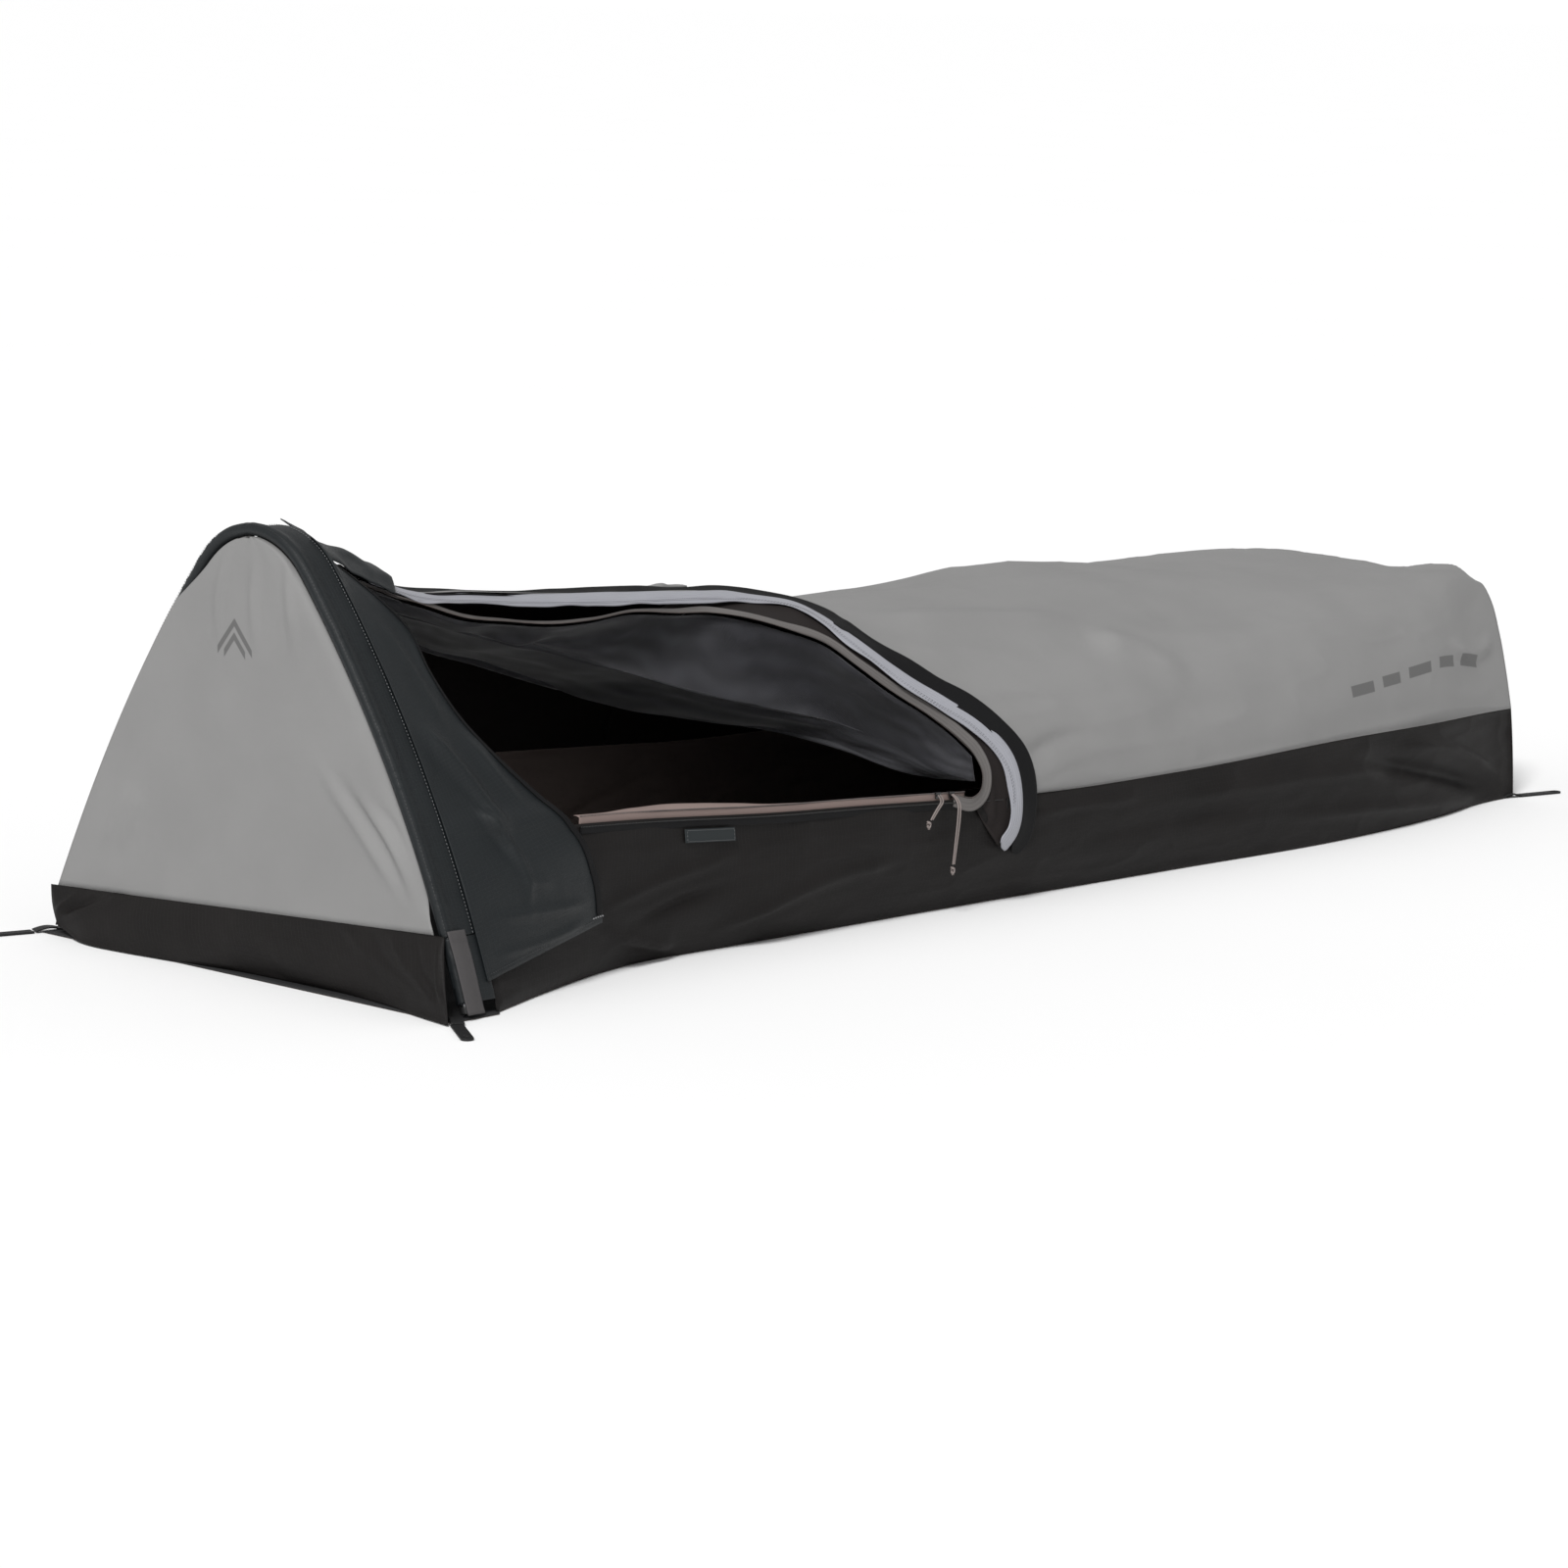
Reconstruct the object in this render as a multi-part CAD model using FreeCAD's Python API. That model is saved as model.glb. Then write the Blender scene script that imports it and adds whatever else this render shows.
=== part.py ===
"""A single-hoop bivy sack: a floor with tub walls, a filled-out cover, a bent pole in a sleeve at the
head, a double door folded back over the ridge, zips with sliders and cord pulls, and stake loops.

Millimetres. While it is modelled, X runs from the hoop to the foot with 0 at the hoop's plane, Y runs
from the near (door) side to the far side with 0 on the centre line, and Z is up with 0 on the ground.
At the end every piece moves by the same shift, so that the origin is the centre of the base.
"""
import FreeCAD, Part
import math
import os

V = FreeCAD.Vector

# Overall size
sack_length = 2130.0        # hoop plane to the outside of the foot panel
hoop_height = 508.0         # ground to the pole's centre line at the top
hoop_half_span = 345.0      # centre line to each pole foot
foot_height = 300.0         # ground to the top of the foot panel
fabric = 2.0                # thickness given to every fabric wall
seam_gap = 0.6              # gap left where two cloth pieces of one body are sewn
body_gap = 1.5              # gap left between cloth and what moves past it

# Pole
pole_radius = 4.25
pole_wall = 0.7
crown_radius = 110.0        # bend of the pole at the top of the hoop
crown_half_angle = 50.0     # degrees each side of the top held by that bend
foot_lift = 14.0            # ground to the end of the pole tube
ferrule_length = 70.0
ferrule_wall = 0.9
ferrule_clearance = 0.06
shock_cord_radius = 1.2
tip_plug_length = 18.0
tip_plug_clearance = 0.06
tip_head_radius = 5.4
tip_head_length = 9.0

# Sleeve, foot pockets and head panel
sleeve_front = 8.5          # hoop plane to the sleeve's front edge, towards the head
sleeve_back = 45.0          # hoop plane to the sleeve's back edge, towards the foot
sleeve_half_height = 7.0
pocket_height = 84.0
pocket_width = 40.0
pocket_half_height = 9.0
pocket_wall = 1.6
head_band_height = 100.0

# Tub walls and cover, row by row from the hoop to the foot
class Row:
    """One cross-section: half widths at the floor, at half height and at the seam, then heights."""

    def __init__(self, x, base, middle, seam, seam_z, ridge_z, roundness):
        self.x, self.base, self.middle, self.seam = x, base, middle, seam
        self.seam_z, self.ridge_z, self.roundness = seam_z, ridge_z, roundness


wall_start = sleeve_back + 5.0
shoulder_x = 150.0          # where the ridge's steep slope behind the hoop ends
waist_x = 330.0             # where the floor is narrowest
door_end_x = 945.0          # where the door ends at the near wall
waist_half = 260.0          # half the floor's width at the waist
belly_half = 303.0          # half the floor's width at its widest, over the legs
foot_half = 249.0           # half the floor's width at the foot panel
wall_top_head = 176.0       # near wall height at the head end of the door
wall_top_door = 136.0       # wall height where the door ends
wall_top_foot = 126.0       # wall height at the foot
ridge_waist = 409.0         # ridge height behind the hoop's slope
ridge_door = 358.0          # ridge height where the door ends
ridge_back = 352.0          # ridge height over the legs

# Door edge, tapes and flap
ridge_edge = 8.0            # door edge to the centre line, on the near side
arch_lean = 93.0            # how far the door edge runs towards the foot between ridge and wall
silver_width = 24.0
flap_width = 28.0
mesh_tape_width = 17.0
mesh_tape_gap = 5.0
tape_thick = 1.2
edge_drop = 62.0            # how far the door edge hangs below the wall's seam
stand_off = 13.0            # door edge to the wall at its lower end

# Zip on the near wall
tape_height = 14.0
tape_above_wall = 8.0
fly_tape_height = 9.0
slider_length = 9.0
slider_wall = 1.6
slider_play = 0.5           # gap each side of a tape inside its slider
slider_reach = 6.0          # how far a slider reaches down its tape
fly_tape_drop = 3.0        # wall top to the upper edge of the outer tape
fly_tape_off = 3.4          # wall face to the outer tape
mesh_slider_a_x = 838.0
mesh_slider_b_x = 862.0
mesh_tape_end_x = 888.0
fly_slider_x = 958.0
pull_length = 22.0
pull_width = 7.0
pull_thick = 1.8
pull_pin_radius = 1.0
pull_pin_play = 0.05

# Pull cords
cord_radius = 1.0
knot_radius = 4.2
knot_length = 8.0
knot_tail = 6.0

# Gusset, label and stake loops
gusset_top = 452.0
gusset_clear = 4.0          # gusset to the wall that it covers
label_length = 82.0
label_height = 16.0
label_x = 398.0
label_drop = 14.0           # wall top to the label's upper edge
loop_length = 76.0
loop_width = 15.0
loop_thick = 2.4
eye_radius = 5.0
eye_from_end = 11.0

shapes = {}


def polygon(points):
    """A closed wire through the points."""
    return Part.makePolygon(list(points) + [points[0]])


def ruled_solid(wires):
    """A solid through closed section wires, straight from one to the next."""
    return Part.makeLoft(wires, True, True)


def slab(outline, normal, thickness):
    """A flat plate: an outline pushed along a direction."""
    return Part.Face(outline).extrude(V(*normal) * thickness)


def box(x0, x1, y0, y1, z0, z1):
    """A box between two corners."""
    return Part.makeBox(x1 - x0, y1 - y0, z1 - z0, V(x0, y0, z0))


# The hoop's centre line: one arc over the top and one down each side, all tangent.
side_start = V(0, crown_radius * math.sin(math.radians(crown_half_angle)),
               hoop_height - crown_radius * (1 - math.cos(math.radians(crown_half_angle))))
leg_run = hoop_half_span - side_start.y
leg_drop = side_start.z - foot_lift
leg_slope = math.degrees(math.atan2(leg_drop, leg_run))
side_turn = 2 * (leg_slope - crown_half_angle)
side_radius = math.hypot(leg_run, leg_drop) / (2 * math.sin(math.radians(side_turn / 2)))
crown_centre = V(0, 0, hoop_height - crown_radius)
side_offset = side_radius - crown_radius
side_centre_y = side_offset * math.sin(math.radians(crown_half_angle))
side_centre_z = crown_centre.z - side_offset * math.cos(math.radians(crown_half_angle))
side_length = side_radius * math.radians(side_turn)
crown_length = 2 * crown_radius * math.radians(crown_half_angle)
hoop_length = crown_length + 2 * side_length


def hoop_y(z):
    """Distance of the pole's centre line from the centre plane at a height on the legs."""
    reach = side_radius ** 2 - (z - side_centre_z) ** 2
    on_leg = math.sqrt(reach) - side_centre_y
    if z <= side_start.z:
        return on_leg
    return math.sqrt(max(0.0, crown_radius ** 2 - (z - crown_centre.z) ** 2))


def along_hoop(profile, start, end):
    """Sweeps a profile along the hoop between two distances from the near foot.

    profile(z) gives the face of the section whose middle is at height z in the plane y = 0.
    """
    near_centre = V(0, side_centre_y, side_centre_z)
    far_centre = V(0, -side_centre_y, side_centre_z)
    spans = [(0.0, side_length, near_centre, side_radius, -crown_half_angle - side_turn),
             (side_length, side_length + crown_length, crown_centre, crown_radius, -crown_half_angle),
             (side_length + crown_length, hoop_length, far_centre, side_radius, crown_half_angle)]
    solid = None
    for low, high, centre, radius, first_angle in spans:
        a, b = max(start, low), min(end, high)
        if b - a < 1e-6:
            continue
        face = profile(centre.z + radius)
        face.translate(V(0, centre.y, 0))
        face.rotate(centre, V(-1, 0, 0), first_angle + math.degrees((a - low) / radius))
        piece = face.revolve(centre, V(-1, 0, 0), math.degrees((b - a) / radius))
        solid = piece if solid is None else solid.fuse(piece)
    return solid


def ring(outer, inner=0.0):
    """A round section for along_hoop."""
    def profile(z):
        rim = Part.Wire(Part.makeCircle(outer, V(0, 0, z), V(0, 1, 0)))
        if not inner:
            return Part.Face(rim)
        return Part.Face(rim).cut(Part.Face(Part.Wire(Part.makeCircle(inner, V(0, 0, z), V(0, 1, 0)))))
    return profile


def slot_wire(front, back, half_height, z):
    """A flat-sided loop with round ends, long in X."""
    a, b = -front + half_height, back - half_height
    top, low = V(0, 0, z + half_height), V(0, 0, z - half_height)
    return Part.Wire([
        Part.LineSegment(V(a, 0, top.z), V(b, 0, top.z)).toShape(),
        Part.Arc(V(b, 0, top.z), V(back, 0, z), V(b, 0, low.z)).toShape(),
        Part.LineSegment(V(b, 0, low.z), V(a, 0, low.z)).toShape(),
        Part.Arc(V(a, 0, low.z), V(-front, 0, z), V(a, 0, top.z)).toShape()])


def slot_tube(front, back, half_height, wall):
    """A hollow flat-sided section for along_hoop."""
    def profile(z):
        outer = Part.Face(slot_wire(front, back, half_height, z))
        return outer.cut(Part.Face(slot_wire(front - wall, back - wall, half_height - wall, z)))
    return profile


def make_pole():
    """Three tube sections, the ferrules that join them, the tips and the elastic cord inside."""
    bore = pole_radius - pole_wall
    section = hoop_length / 3
    names = ["pole_near_section", "pole_middle_section", "pole_far_section"]
    for index, name in enumerate(names):
        shapes[name] = along_hoop(ring(pole_radius, bore), index * section, (index + 1) * section)
    ferrule = ring(bore - ferrule_clearance, bore - ferrule_clearance - ferrule_wall)
    half = ferrule_length / 2
    shapes["near_ferrule"] = along_hoop(ferrule, section - half, section + half)
    shapes["far_ferrule"] = along_hoop(ferrule, 2 * section - half, 2 * section + half)
    shapes["shock_cord"] = along_hoop(ring(shock_cord_radius), tip_plug_length, hoop_length - tip_plug_length)
    plug = ring(bore - tip_plug_clearance)
    lean = crown_half_angle + side_turn
    down = V(0, math.cos(math.radians(lean)), -math.sin(math.radians(lean)))
    for side, name in ((-1, "near_pole_tip"), (1, "far_pole_tip")):
        start = 0.0 if side < 0 else hoop_length - tip_plug_length
        shank = along_hoop(plug, start, start + tip_plug_length)
        end = V(0, side * hoop_half_span, foot_lift)
        head = Part.makeCylinder(tip_head_radius, tip_head_length, end, V(0, side * down.y, down.z))
        head = head.makeFillet(1.5, [edge for edge in head.Edges if edge.Length > tip_head_radius * 6])
        shapes[name] = shank.fuse(head)


def distance_at(z):
    """Distance along the hoop from the near foot to a height on the near leg."""
    angle = math.degrees(math.asin((z - side_centre_z) / side_radius))
    bottom = math.degrees(math.asin((foot_lift - side_centre_z) / side_radius))
    return side_radius * math.radians(angle - bottom)


def make_sleeve():
    """The sleeve round the pole and, on the root, the two pockets that hold the pole's feet."""
    low = distance_at(pocket_height)
    sleeve = slot_tube(sleeve_front, sleeve_back, sleeve_half_height, fabric * 0.75)
    shapes["pole_sleeve"] = along_hoop(sleeve, low, hoop_length - low)
    pocket = slot_tube(sleeve_front + body_gap, pocket_width, pocket_half_height, pocket_wall)
    high = distance_at(pocket_height - body_gap)
    trim = box(-200, 200, -600, 600, fabric + 0.1, 200)
    shapes["near_foot_pocket"] = along_hoop(pocket, 0.0, high).common(trim)
    shapes["far_foot_pocket"] = along_hoop(pocket, hoop_length - high, hoop_length).common(trim)


def make_head():
    """The light panel inside the hoop and the dark band below it."""
    grow = 3.0
    low_z = head_band_height + body_gap
    low_y = hoop_y(low_z) + grow
    knee_y = (crown_radius + grow) * math.sin(math.radians(crown_half_angle))
    knee_z = crown_centre.z + (crown_radius + grow) * math.cos(math.radians(crown_half_angle))
    side_z = (low_z + knee_z) / 2
    side_y = hoop_y(side_z) + grow
    x = -sleeve_front - body_gap
    panel = Part.Wire([
        Part.LineSegment(V(x, -low_y, low_z), V(x, low_y, low_z)).toShape(),
        Part.Arc(V(x, low_y, low_z), V(x, side_y, side_z), V(x, knee_y, knee_z)).toShape(),
        Part.Arc(V(x, knee_y, knee_z), V(x, 0, hoop_height + grow), V(x, -knee_y, knee_z)).toShape(),
        Part.Arc(V(x, -knee_y, knee_z), V(x, -side_y, side_z), V(x, -low_y, low_z)).toShape()])
    shapes["head_panel"] = slab(panel, (-1, 0, 0), fabric)
    top_half = hoop_y(head_band_height) + pocket_half_height
    front = x - fabric
    sections = []
    for share, bulge in ((-1.0, 16.0), (-0.6, 24.0), (0.0, 4.0), (0.6, 24.0), (1.0, 16.0)):
        low = V(front - bulge, share * corner_half, fabric)
        high = V(front, share * top_half, head_band_height)
        middle = (low + high) * 0.5 + V(-bulge * 0.25, 0, 0)
        skin = [low, middle, high]
        sections.append(polygon(skin + [p + V(fabric, 0, 0) for p in reversed(skin)]))
    shapes["head_tub_wall"] = ruled_solid(sections)


corner_half = hoop_half_span + pocket_half_height + 6.0


def rows():
    """The cross-sections from behind the sleeve to the foot panel."""
    out = fabric + pocket_half_height + body_gap
    seam_z = wall_top_head + 14.0
    foot_x = sack_length - fabric - seam_gap
    door_side = waist_half + 37.0
    return [
        Row(wall_start, corner_half - 6.0, hoop_y(seam_z / 2) + out, hoop_y(seam_z) + out, seam_z,
            hoop_height - 14.0, 1.35),
        Row(shoulder_x, 311.0, 304.0, 281.0, wall_top_head + 9.0, ridge_waist + 36.0, 1.4),
        Row(waist_x, waist_half, waist_half + 26.0, waist_half + 23.0, wall_top_head, ridge_waist, 1.55),
        Row(door_end_x, waist_half + 12.0, waist_half + 39.0, door_side, wall_top_door, ridge_door, 1.8),
        Row(sack_length - 830.0, belly_half - 14.0, belly_half + 5.0, belly_half, wall_top_door - 4.0,
            ridge_back + 5.0, 2.1),
        Row(sack_length - 480.0, belly_half, belly_half + 9.0, belly_half + 2.0, wall_top_door - 2.0,
            ridge_back - 4.0, 2.5),
        Row(sack_length - 230.0, foot_half + 33.0, foot_half + 38.0, foot_half + 31.0, wall_top_door - 4.0,
            ridge_back - 12.0, 3.2),
        Row(sack_length - 70.0, foot_half + 3.0, foot_half + 6.0, foot_half, wall_top_foot + 2.0,
            foot_height + 18.0, 4.2),
        Row(foot_x, foot_half, foot_half - 4.0, foot_half - 11.0, wall_top_foot, foot_height, 5.5)]


def row_at(x):
    """The cross-section at any distance from the hoop, straight between the rows."""
    table = rows()
    for low, high in zip(table, table[1:]):
        if x <= high.x or high is table[-1]:
            t = (x - low.x) / (high.x - low.x)
            values = [getattr(low, key) * (1 - t) + getattr(high, key) * t
                      for key in ("base", "middle", "seam", "seam_z", "ridge_z", "roundness")]
            return Row(x, *values)


def cover_point(row, turn, inset=0.0):
    """A point of the cover's section; turn goes from 0 at the near seam to 180 at the far seam."""
    c, s = math.cos(math.radians(turn)), math.sin(math.radians(turn))
    power = 2.0 / row.roundness
    y = -(row.seam - inset) * math.copysign(abs(c) ** power, c)
    z = row.seam_z + seam_gap + (row.ridge_z - row.seam_z - inset) * abs(s) ** power
    return V(row.x, y, z)


def cover_z(x, y):
    """Height of the cover's outside at a place."""
    row = row_at(x)
    share = min(1.0, abs(y) / row.seam)
    rise = (1 - share ** row.roundness) ** (1 / row.roundness)
    return row.seam_z + seam_gap + (row.ridge_z - row.seam_z) * rise


def wall_y(x, z):
    """Half width of a tub wall's outside at a height."""
    row = row_at(x)
    half = row.seam_z / 2
    if z <= half:
        return row.base + (row.middle - row.base) * z / half
    return row.middle + (row.seam - row.middle) * (z - half) / half


def make_tub():
    """Floor sheet, the two long walls and the foot panel."""
    table = rows()
    front = -sleeve_front - body_gap - fabric
    far_line = [V(r.x, r.base, 0) for r in table]
    outline = [V(front - 16.0, corner_half, 0)] + far_line
    outline[-1] = V(sack_length, foot_half, 0)
    near_line = [V(p.x, -p.y, 0) for p in reversed(outline)]
    shapes["floor_sheet"] = slab(polygon(outline + near_line), (0, 0, 1), fabric)
    for side, name in ((-1, "near_tub_wall"), (1, "far_tub_wall")):
        sections = []
        for r in table:
            skin = [V(r.x, side * r.base, fabric), V(r.x, side * r.middle, r.seam_z / 2),
                    V(r.x, side * r.seam, r.seam_z)]
            back = [p - V(0, side * fabric, 0) for p in reversed(skin)]
            sections.append(polygon(skin + back))
        shapes[name] = ruled_solid(sections)
    last = table[-1]
    x = sack_length
    last.x = x
    arch = [cover_point(last, turn) for turn in range(0, 181, 10)]
    curve = Part.BSplineCurve()
    curve.interpolate(arch)
    low = [V(x, last.seam, last.seam_z), V(x, last.middle, last.seam_z / 2), V(x, last.base, fabric)]
    path = [arch[-1]] + low + [V(x, -p.y, p.z) for p in reversed(low)] + [arch[0]]
    edges = [curve.toShape()] + [Part.LineSegment(a, b).toShape() for a, b in zip(path, path[1:])]
    shapes["foot_end_panel"] = slab(Part.Wire(edges), (-1, 0, 0), fabric)


def cover_section(row):
    """A closed band from seam to seam over the ridge."""
    turns = list(range(0, 181, 10))
    outer, inner = Part.BSplineCurve(), Part.BSplineCurve()
    skin = [cover_point(row, turn) for turn in turns]
    lining = [cover_point(row, turn, fabric) for turn in turns]
    outer.interpolate(skin)
    inner.interpolate(list(reversed(lining)))
    return Part.Wire([outer.toShape(), Part.LineSegment(skin[-1], lining[-1]).toShape(), inner.toShape(),
                      Part.LineSegment(lining[0], skin[0]).toShape()])


def arch_x(share):
    """Where the door edge crosses the cover; share is 0 at the ridge and 1 at the near wall."""
    return door_end_x - arch_lean + arch_lean * share ** 2 * (1.4 * share - 0.4)


def make_covers():
    """The cover over the legs and the cover on the far side of the door, cut by the door's outline."""
    whole = ruled_solid([cover_section(r) for r in rows()])
    edge = Part.BSplineCurve()
    reach = row_at(door_end_x).seam + 20.0
    corner = V(arch_x(0.0), -ridge_edge, 0)
    edge.interpolate([corner] + [V(arch_x(s), -s * reach, 0) for s in (0.35, 0.7, 1.0)])
    door = Part.Wire([
        edge.toShape(),
        Part.LineSegment(V(arch_x(1.0), -reach, 0), V(0, -reach, 0)).toShape(),
        Part.LineSegment(V(0, -reach, 0), V(0, -ridge_edge, 0)).toShape(),
        Part.LineSegment(V(0, -ridge_edge, 0), corner).toShape()])
    cut = whole.cut(slab(door, (0, 0, 1), hoop_height * 1.2))
    split = arch_x(0.0) - 4.0
    limits = (-reach * 2, reach * 2, 0, hoop_height * 1.2)
    shapes["far_cover"] = cut.common(box(0, split - seam_gap, *limits))
    shapes["foot_cover"] = cut.common(box(split, sack_length, *limits))


def cover_rise(point, across, normal, reach):
    """How far the cover stands above a flat band that starts at a point of it."""
    rise = 0.0
    for share in (0.25, 0.5, 0.75, 1.0):
        place = point + across * (reach * share)
        if abs(place.y) < row_at(place.x).seam:
            rise = max(rise, (V(place.x, place.y, cover_z(place.x, place.y)) - place).dot(normal))
    return rise


def strip(path, low, high, lift, thickness):
    """A band along a path of (point, width direction, normal, extra lift)."""
    sections = []
    for point, across, normal, extra in path:
        if low < 0 and extra == 0.0:
            lift = max(lift, cover_rise(point, across, normal, low) + body_gap)
        base = point + normal * (lift + extra)
        a, b = base + across * low, base + across * high
        sections.append(polygon([a, b, b + normal * thickness, a + normal * thickness]))
    return ruled_solid(sections)


def door_edge():
    """The folded-back door's edge: along the ridge, then down the arch and over the wall."""
    path = []
    for x in (70.0, 150.0, 240.0, waist_x, 500.0, 680.0, 800.0):
        path.append((V(x, -ridge_edge, cover_z(x, ridge_edge)), V(0, -0.5, -0.866), V(0, -0.866, 0.5), 0.0))
    row = row_at(door_end_x)
    for share in (0.2, 0.45, 0.65, 0.82, 0.95):
        y = share * row.seam
        x = arch_x(share)
        slope = V(0, -(cover_z(x, y) - cover_z(x, y + 4)), 4)
        normal = slope.normalize()
        if share < 0.3:
            across, normal = V(-0.8, -0.4, -0.45).normalize(), V(-0.35, -0.3, 0.89).normalize()
            across = (across - normal * across.dot(normal)).normalize()
        else:
            across = V(-1, 0, 0)
        path.append((V(x, -y, cover_z(x, y)), across, normal, 0.0))
    for drop in (0.0, 0.5, 1.0):
        z = row.seam_z - drop * edge_drop
        x = door_end_x + 8.0 - 22.0 * drop ** 2
        lean = V(-1, 0, -0.7 * drop ** 2).normalize()
        path.append((V(x, -wall_y(x, z), z), lean, V(0, -1, 0), stand_off - 1.0))
    return path


def make_door_edge():
    """Silver tape, storm flap and mesh tape on the folded-back edge, and the slack door and mesh."""
    path = door_edge()
    shapes["fly_zip_tape"] = strip(path, 2.0, silver_width, 3.5, tape_thick)
    shapes["storm_flap"] = strip(path, -flap_width, 0.0, 5.5, fabric * 0.75)
    mesh_path = path[:-3]
    first = silver_width + mesh_tape_gap
    shapes["mesh_zip_tape"] = strip(mesh_path, first, first + mesh_tape_width, -5.0, tape_thick)
    sections = []
    for x in (130.0, 240.0, waist_x, 560.0, 820.0):
        row = row_at(x)
        skin = [V(x, y, cover_z(x, y) + fabric) for y in (24.0, 75.0, 130.0, 175.0)]
        sections.append(polygon(skin + [p + V(0, 0, fabric) for p in reversed(skin)]))
    shapes["fly_door"] = ruled_solid(sections)
    sections = []
    for x, reach in ((110.0, 0.8), (shoulder_x, 0.84), (240.0, 0.9), (waist_x, 1.0), (560.0, 1.0),
                     (780.0, 0.95)):
        top = cover_z(x, 0.0) - 34.0
        skin = [V(x, 4.0, top), V(x, 26.0 * reach, top * 0.72), V(x, 78.0 * reach, top * 0.46),
                V(x, 132.0 * reach, top * 0.36)]
        sections.append(polygon(skin + [p + V(0, fabric, 0) for p in reversed(skin)]))
    shapes["mesh_door"] = ruled_solid(sections)


def gusset_hem(z):
    """Distance from the hoop plane to the gusset's free edge at a height."""
    share = (z - 60.0) / (gusset_top - 60.0)
    return 262.0 - 178.0 * share ** 0.85 - 12.0 * math.sin(math.pi * share)


def gusset_y(x, z):
    """Half width of the gusset's inside: outside the wall, and above it outside the sleeve."""
    if z <= gusset_wall_top:
        return wall_y(x, z) + gusset_clear
    return hoop_y(z) + pocket_half_height + fabric + gusset_clear


gusset_wall_top = wall_top_head + 14.0


def make_gusset():
    """The outer flap behind the sleeve on the near side, and the zip tape along its free edge."""
    sections, tapes = [], []
    front_x = wall_start + 1.0
    step = (gusset_top - gusset_wall_top) / 5
    heights = [44.0, gusset_wall_top * 0.5, gusset_wall_top * 0.75]
    heights += [gusset_wall_top + step * count for count in range(6)]
    for z in heights:
        hem_x = gusset_hem(max(z, 60.0))
        middle_x = shoulder_x if hem_x > shoulder_x + tape_height else (front_x + hem_x) / 2
        skin = [V(x, -gusset_y(x, z), z) for x in (front_x, middle_x, hem_x)]
        sections.append(polygon(skin + [p - V(0, fabric, 0) for p in reversed(skin)]))
        out = V(0, fabric + body_gap, 0)
        share = tape_height / (hem_x - middle_x)
        tape = [skin[2] * (1 - share) + skin[1] * share - out, skin[2] - out]
        tapes.append(polygon(tape + [p - V(0, tape_thick, 0) for p in reversed(tape)]))
    shapes["near_gusset"] = ruled_solid(sections)
    shapes["gusset_zip_tape"] = ruled_solid(tapes[2:])


def top_line(x):
    """The near wall's top outer edge."""
    row = row_at(x)
    return V(x, -row.seam, row.seam_z)


zip_line = (top_line(waist_x) - top_line(door_end_x)).normalize()
zip_tilt = math.degrees(math.atan2(-zip_line.z, -zip_line.x))
zip_turn = math.degrees(math.atan2(zip_line.y, -zip_line.x))


def zip_at(x):
    """The zip's straight line through the wall's top at the waist and at the door's end."""
    return top_line(waist_x) + zip_line * ((x - waist_x) / zip_line.x)


def along_zip(shape, place):
    """Turns a piece drawn along X so that it follows the wall's top edge, and puts it there."""
    shape.rotate(V(0, 0, 0), V(0, 1, 0), -zip_tilt)
    shape.rotate(V(0, 0, 0), V(0, 0, 1), -zip_turn)
    shape.translate(place)
    return shape


def make_wall_tapes():
    """The two zip tapes on the near wall: the mesh's inside its top edge, the fly's outside."""
    def tape(x0, x1, inset, top, height):
        sections = []
        for x in (x0, x1):
            edge = zip_at(x)
            low = V(edge.x, edge.y + inset, edge.z + top - height)
            sections.append(polygon([low, low + V(0, tape_thick, 0), low + V(0, tape_thick, height),
                                     low + V(0, 0, height)]))
        return ruled_solid(sections)
    shapes["wall_mesh_zip_tape"] = tape(waist_x, mesh_tape_end_x, fabric + 0.8, tape_above_wall, tape_height)
    shapes["wall_fly_zip_tape"] = tape(waist_x, door_end_x + 20.0, -fly_tape_off - tape_thick, -fly_tape_drop,
                                       fly_tape_height)


def slider_body():
    """A slider drawn along X, open below, with its tape's middle plane at y = 0 and edge at z = 0."""
    half = tape_thick / 2 + slider_play + slider_wall
    block = box(-slider_length / 2, slider_length / 2, -half, half, -slider_reach, slider_wall + slider_play)
    edges = [e for e in block.Edges if abs(e.Vertexes[0].X - e.Vertexes[1].X) > 1]
    block = block.makeFillet(0.7, edges)
    gap = tape_thick / 2 + slider_play
    return block.cut(box(-slider_length, slider_length, -gap, gap, -slider_reach - 1, slider_play))


def tape_edge(x, inset, top):
    """The middle of a tape's upper edge at a distance from the hoop."""
    edge = zip_at(x)
    return V(x, edge.y + inset + tape_thick / 2, edge.z + top)


def knot_solid(place, direction):
    """A pulled-down overhand knot with two short tails, below a point."""
    body = Part.makeCylinder(knot_radius, knot_length, place, direction)
    body = body.makeFillet(knot_radius * 0.45, [e for e in body.Edges if e.Length > knot_radius * 5])
    end = place + direction * knot_length
    for turn in (-1, 1):
        lean = (direction + V(0.35 * turn, 0, 0)).normalize()
        start = end - direction * 2.0 + V(1.6 * turn, 0, 0)
        body = body.fuse(Part.makeCylinder(cord_radius, knot_tail, start, lean))
    return body


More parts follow.
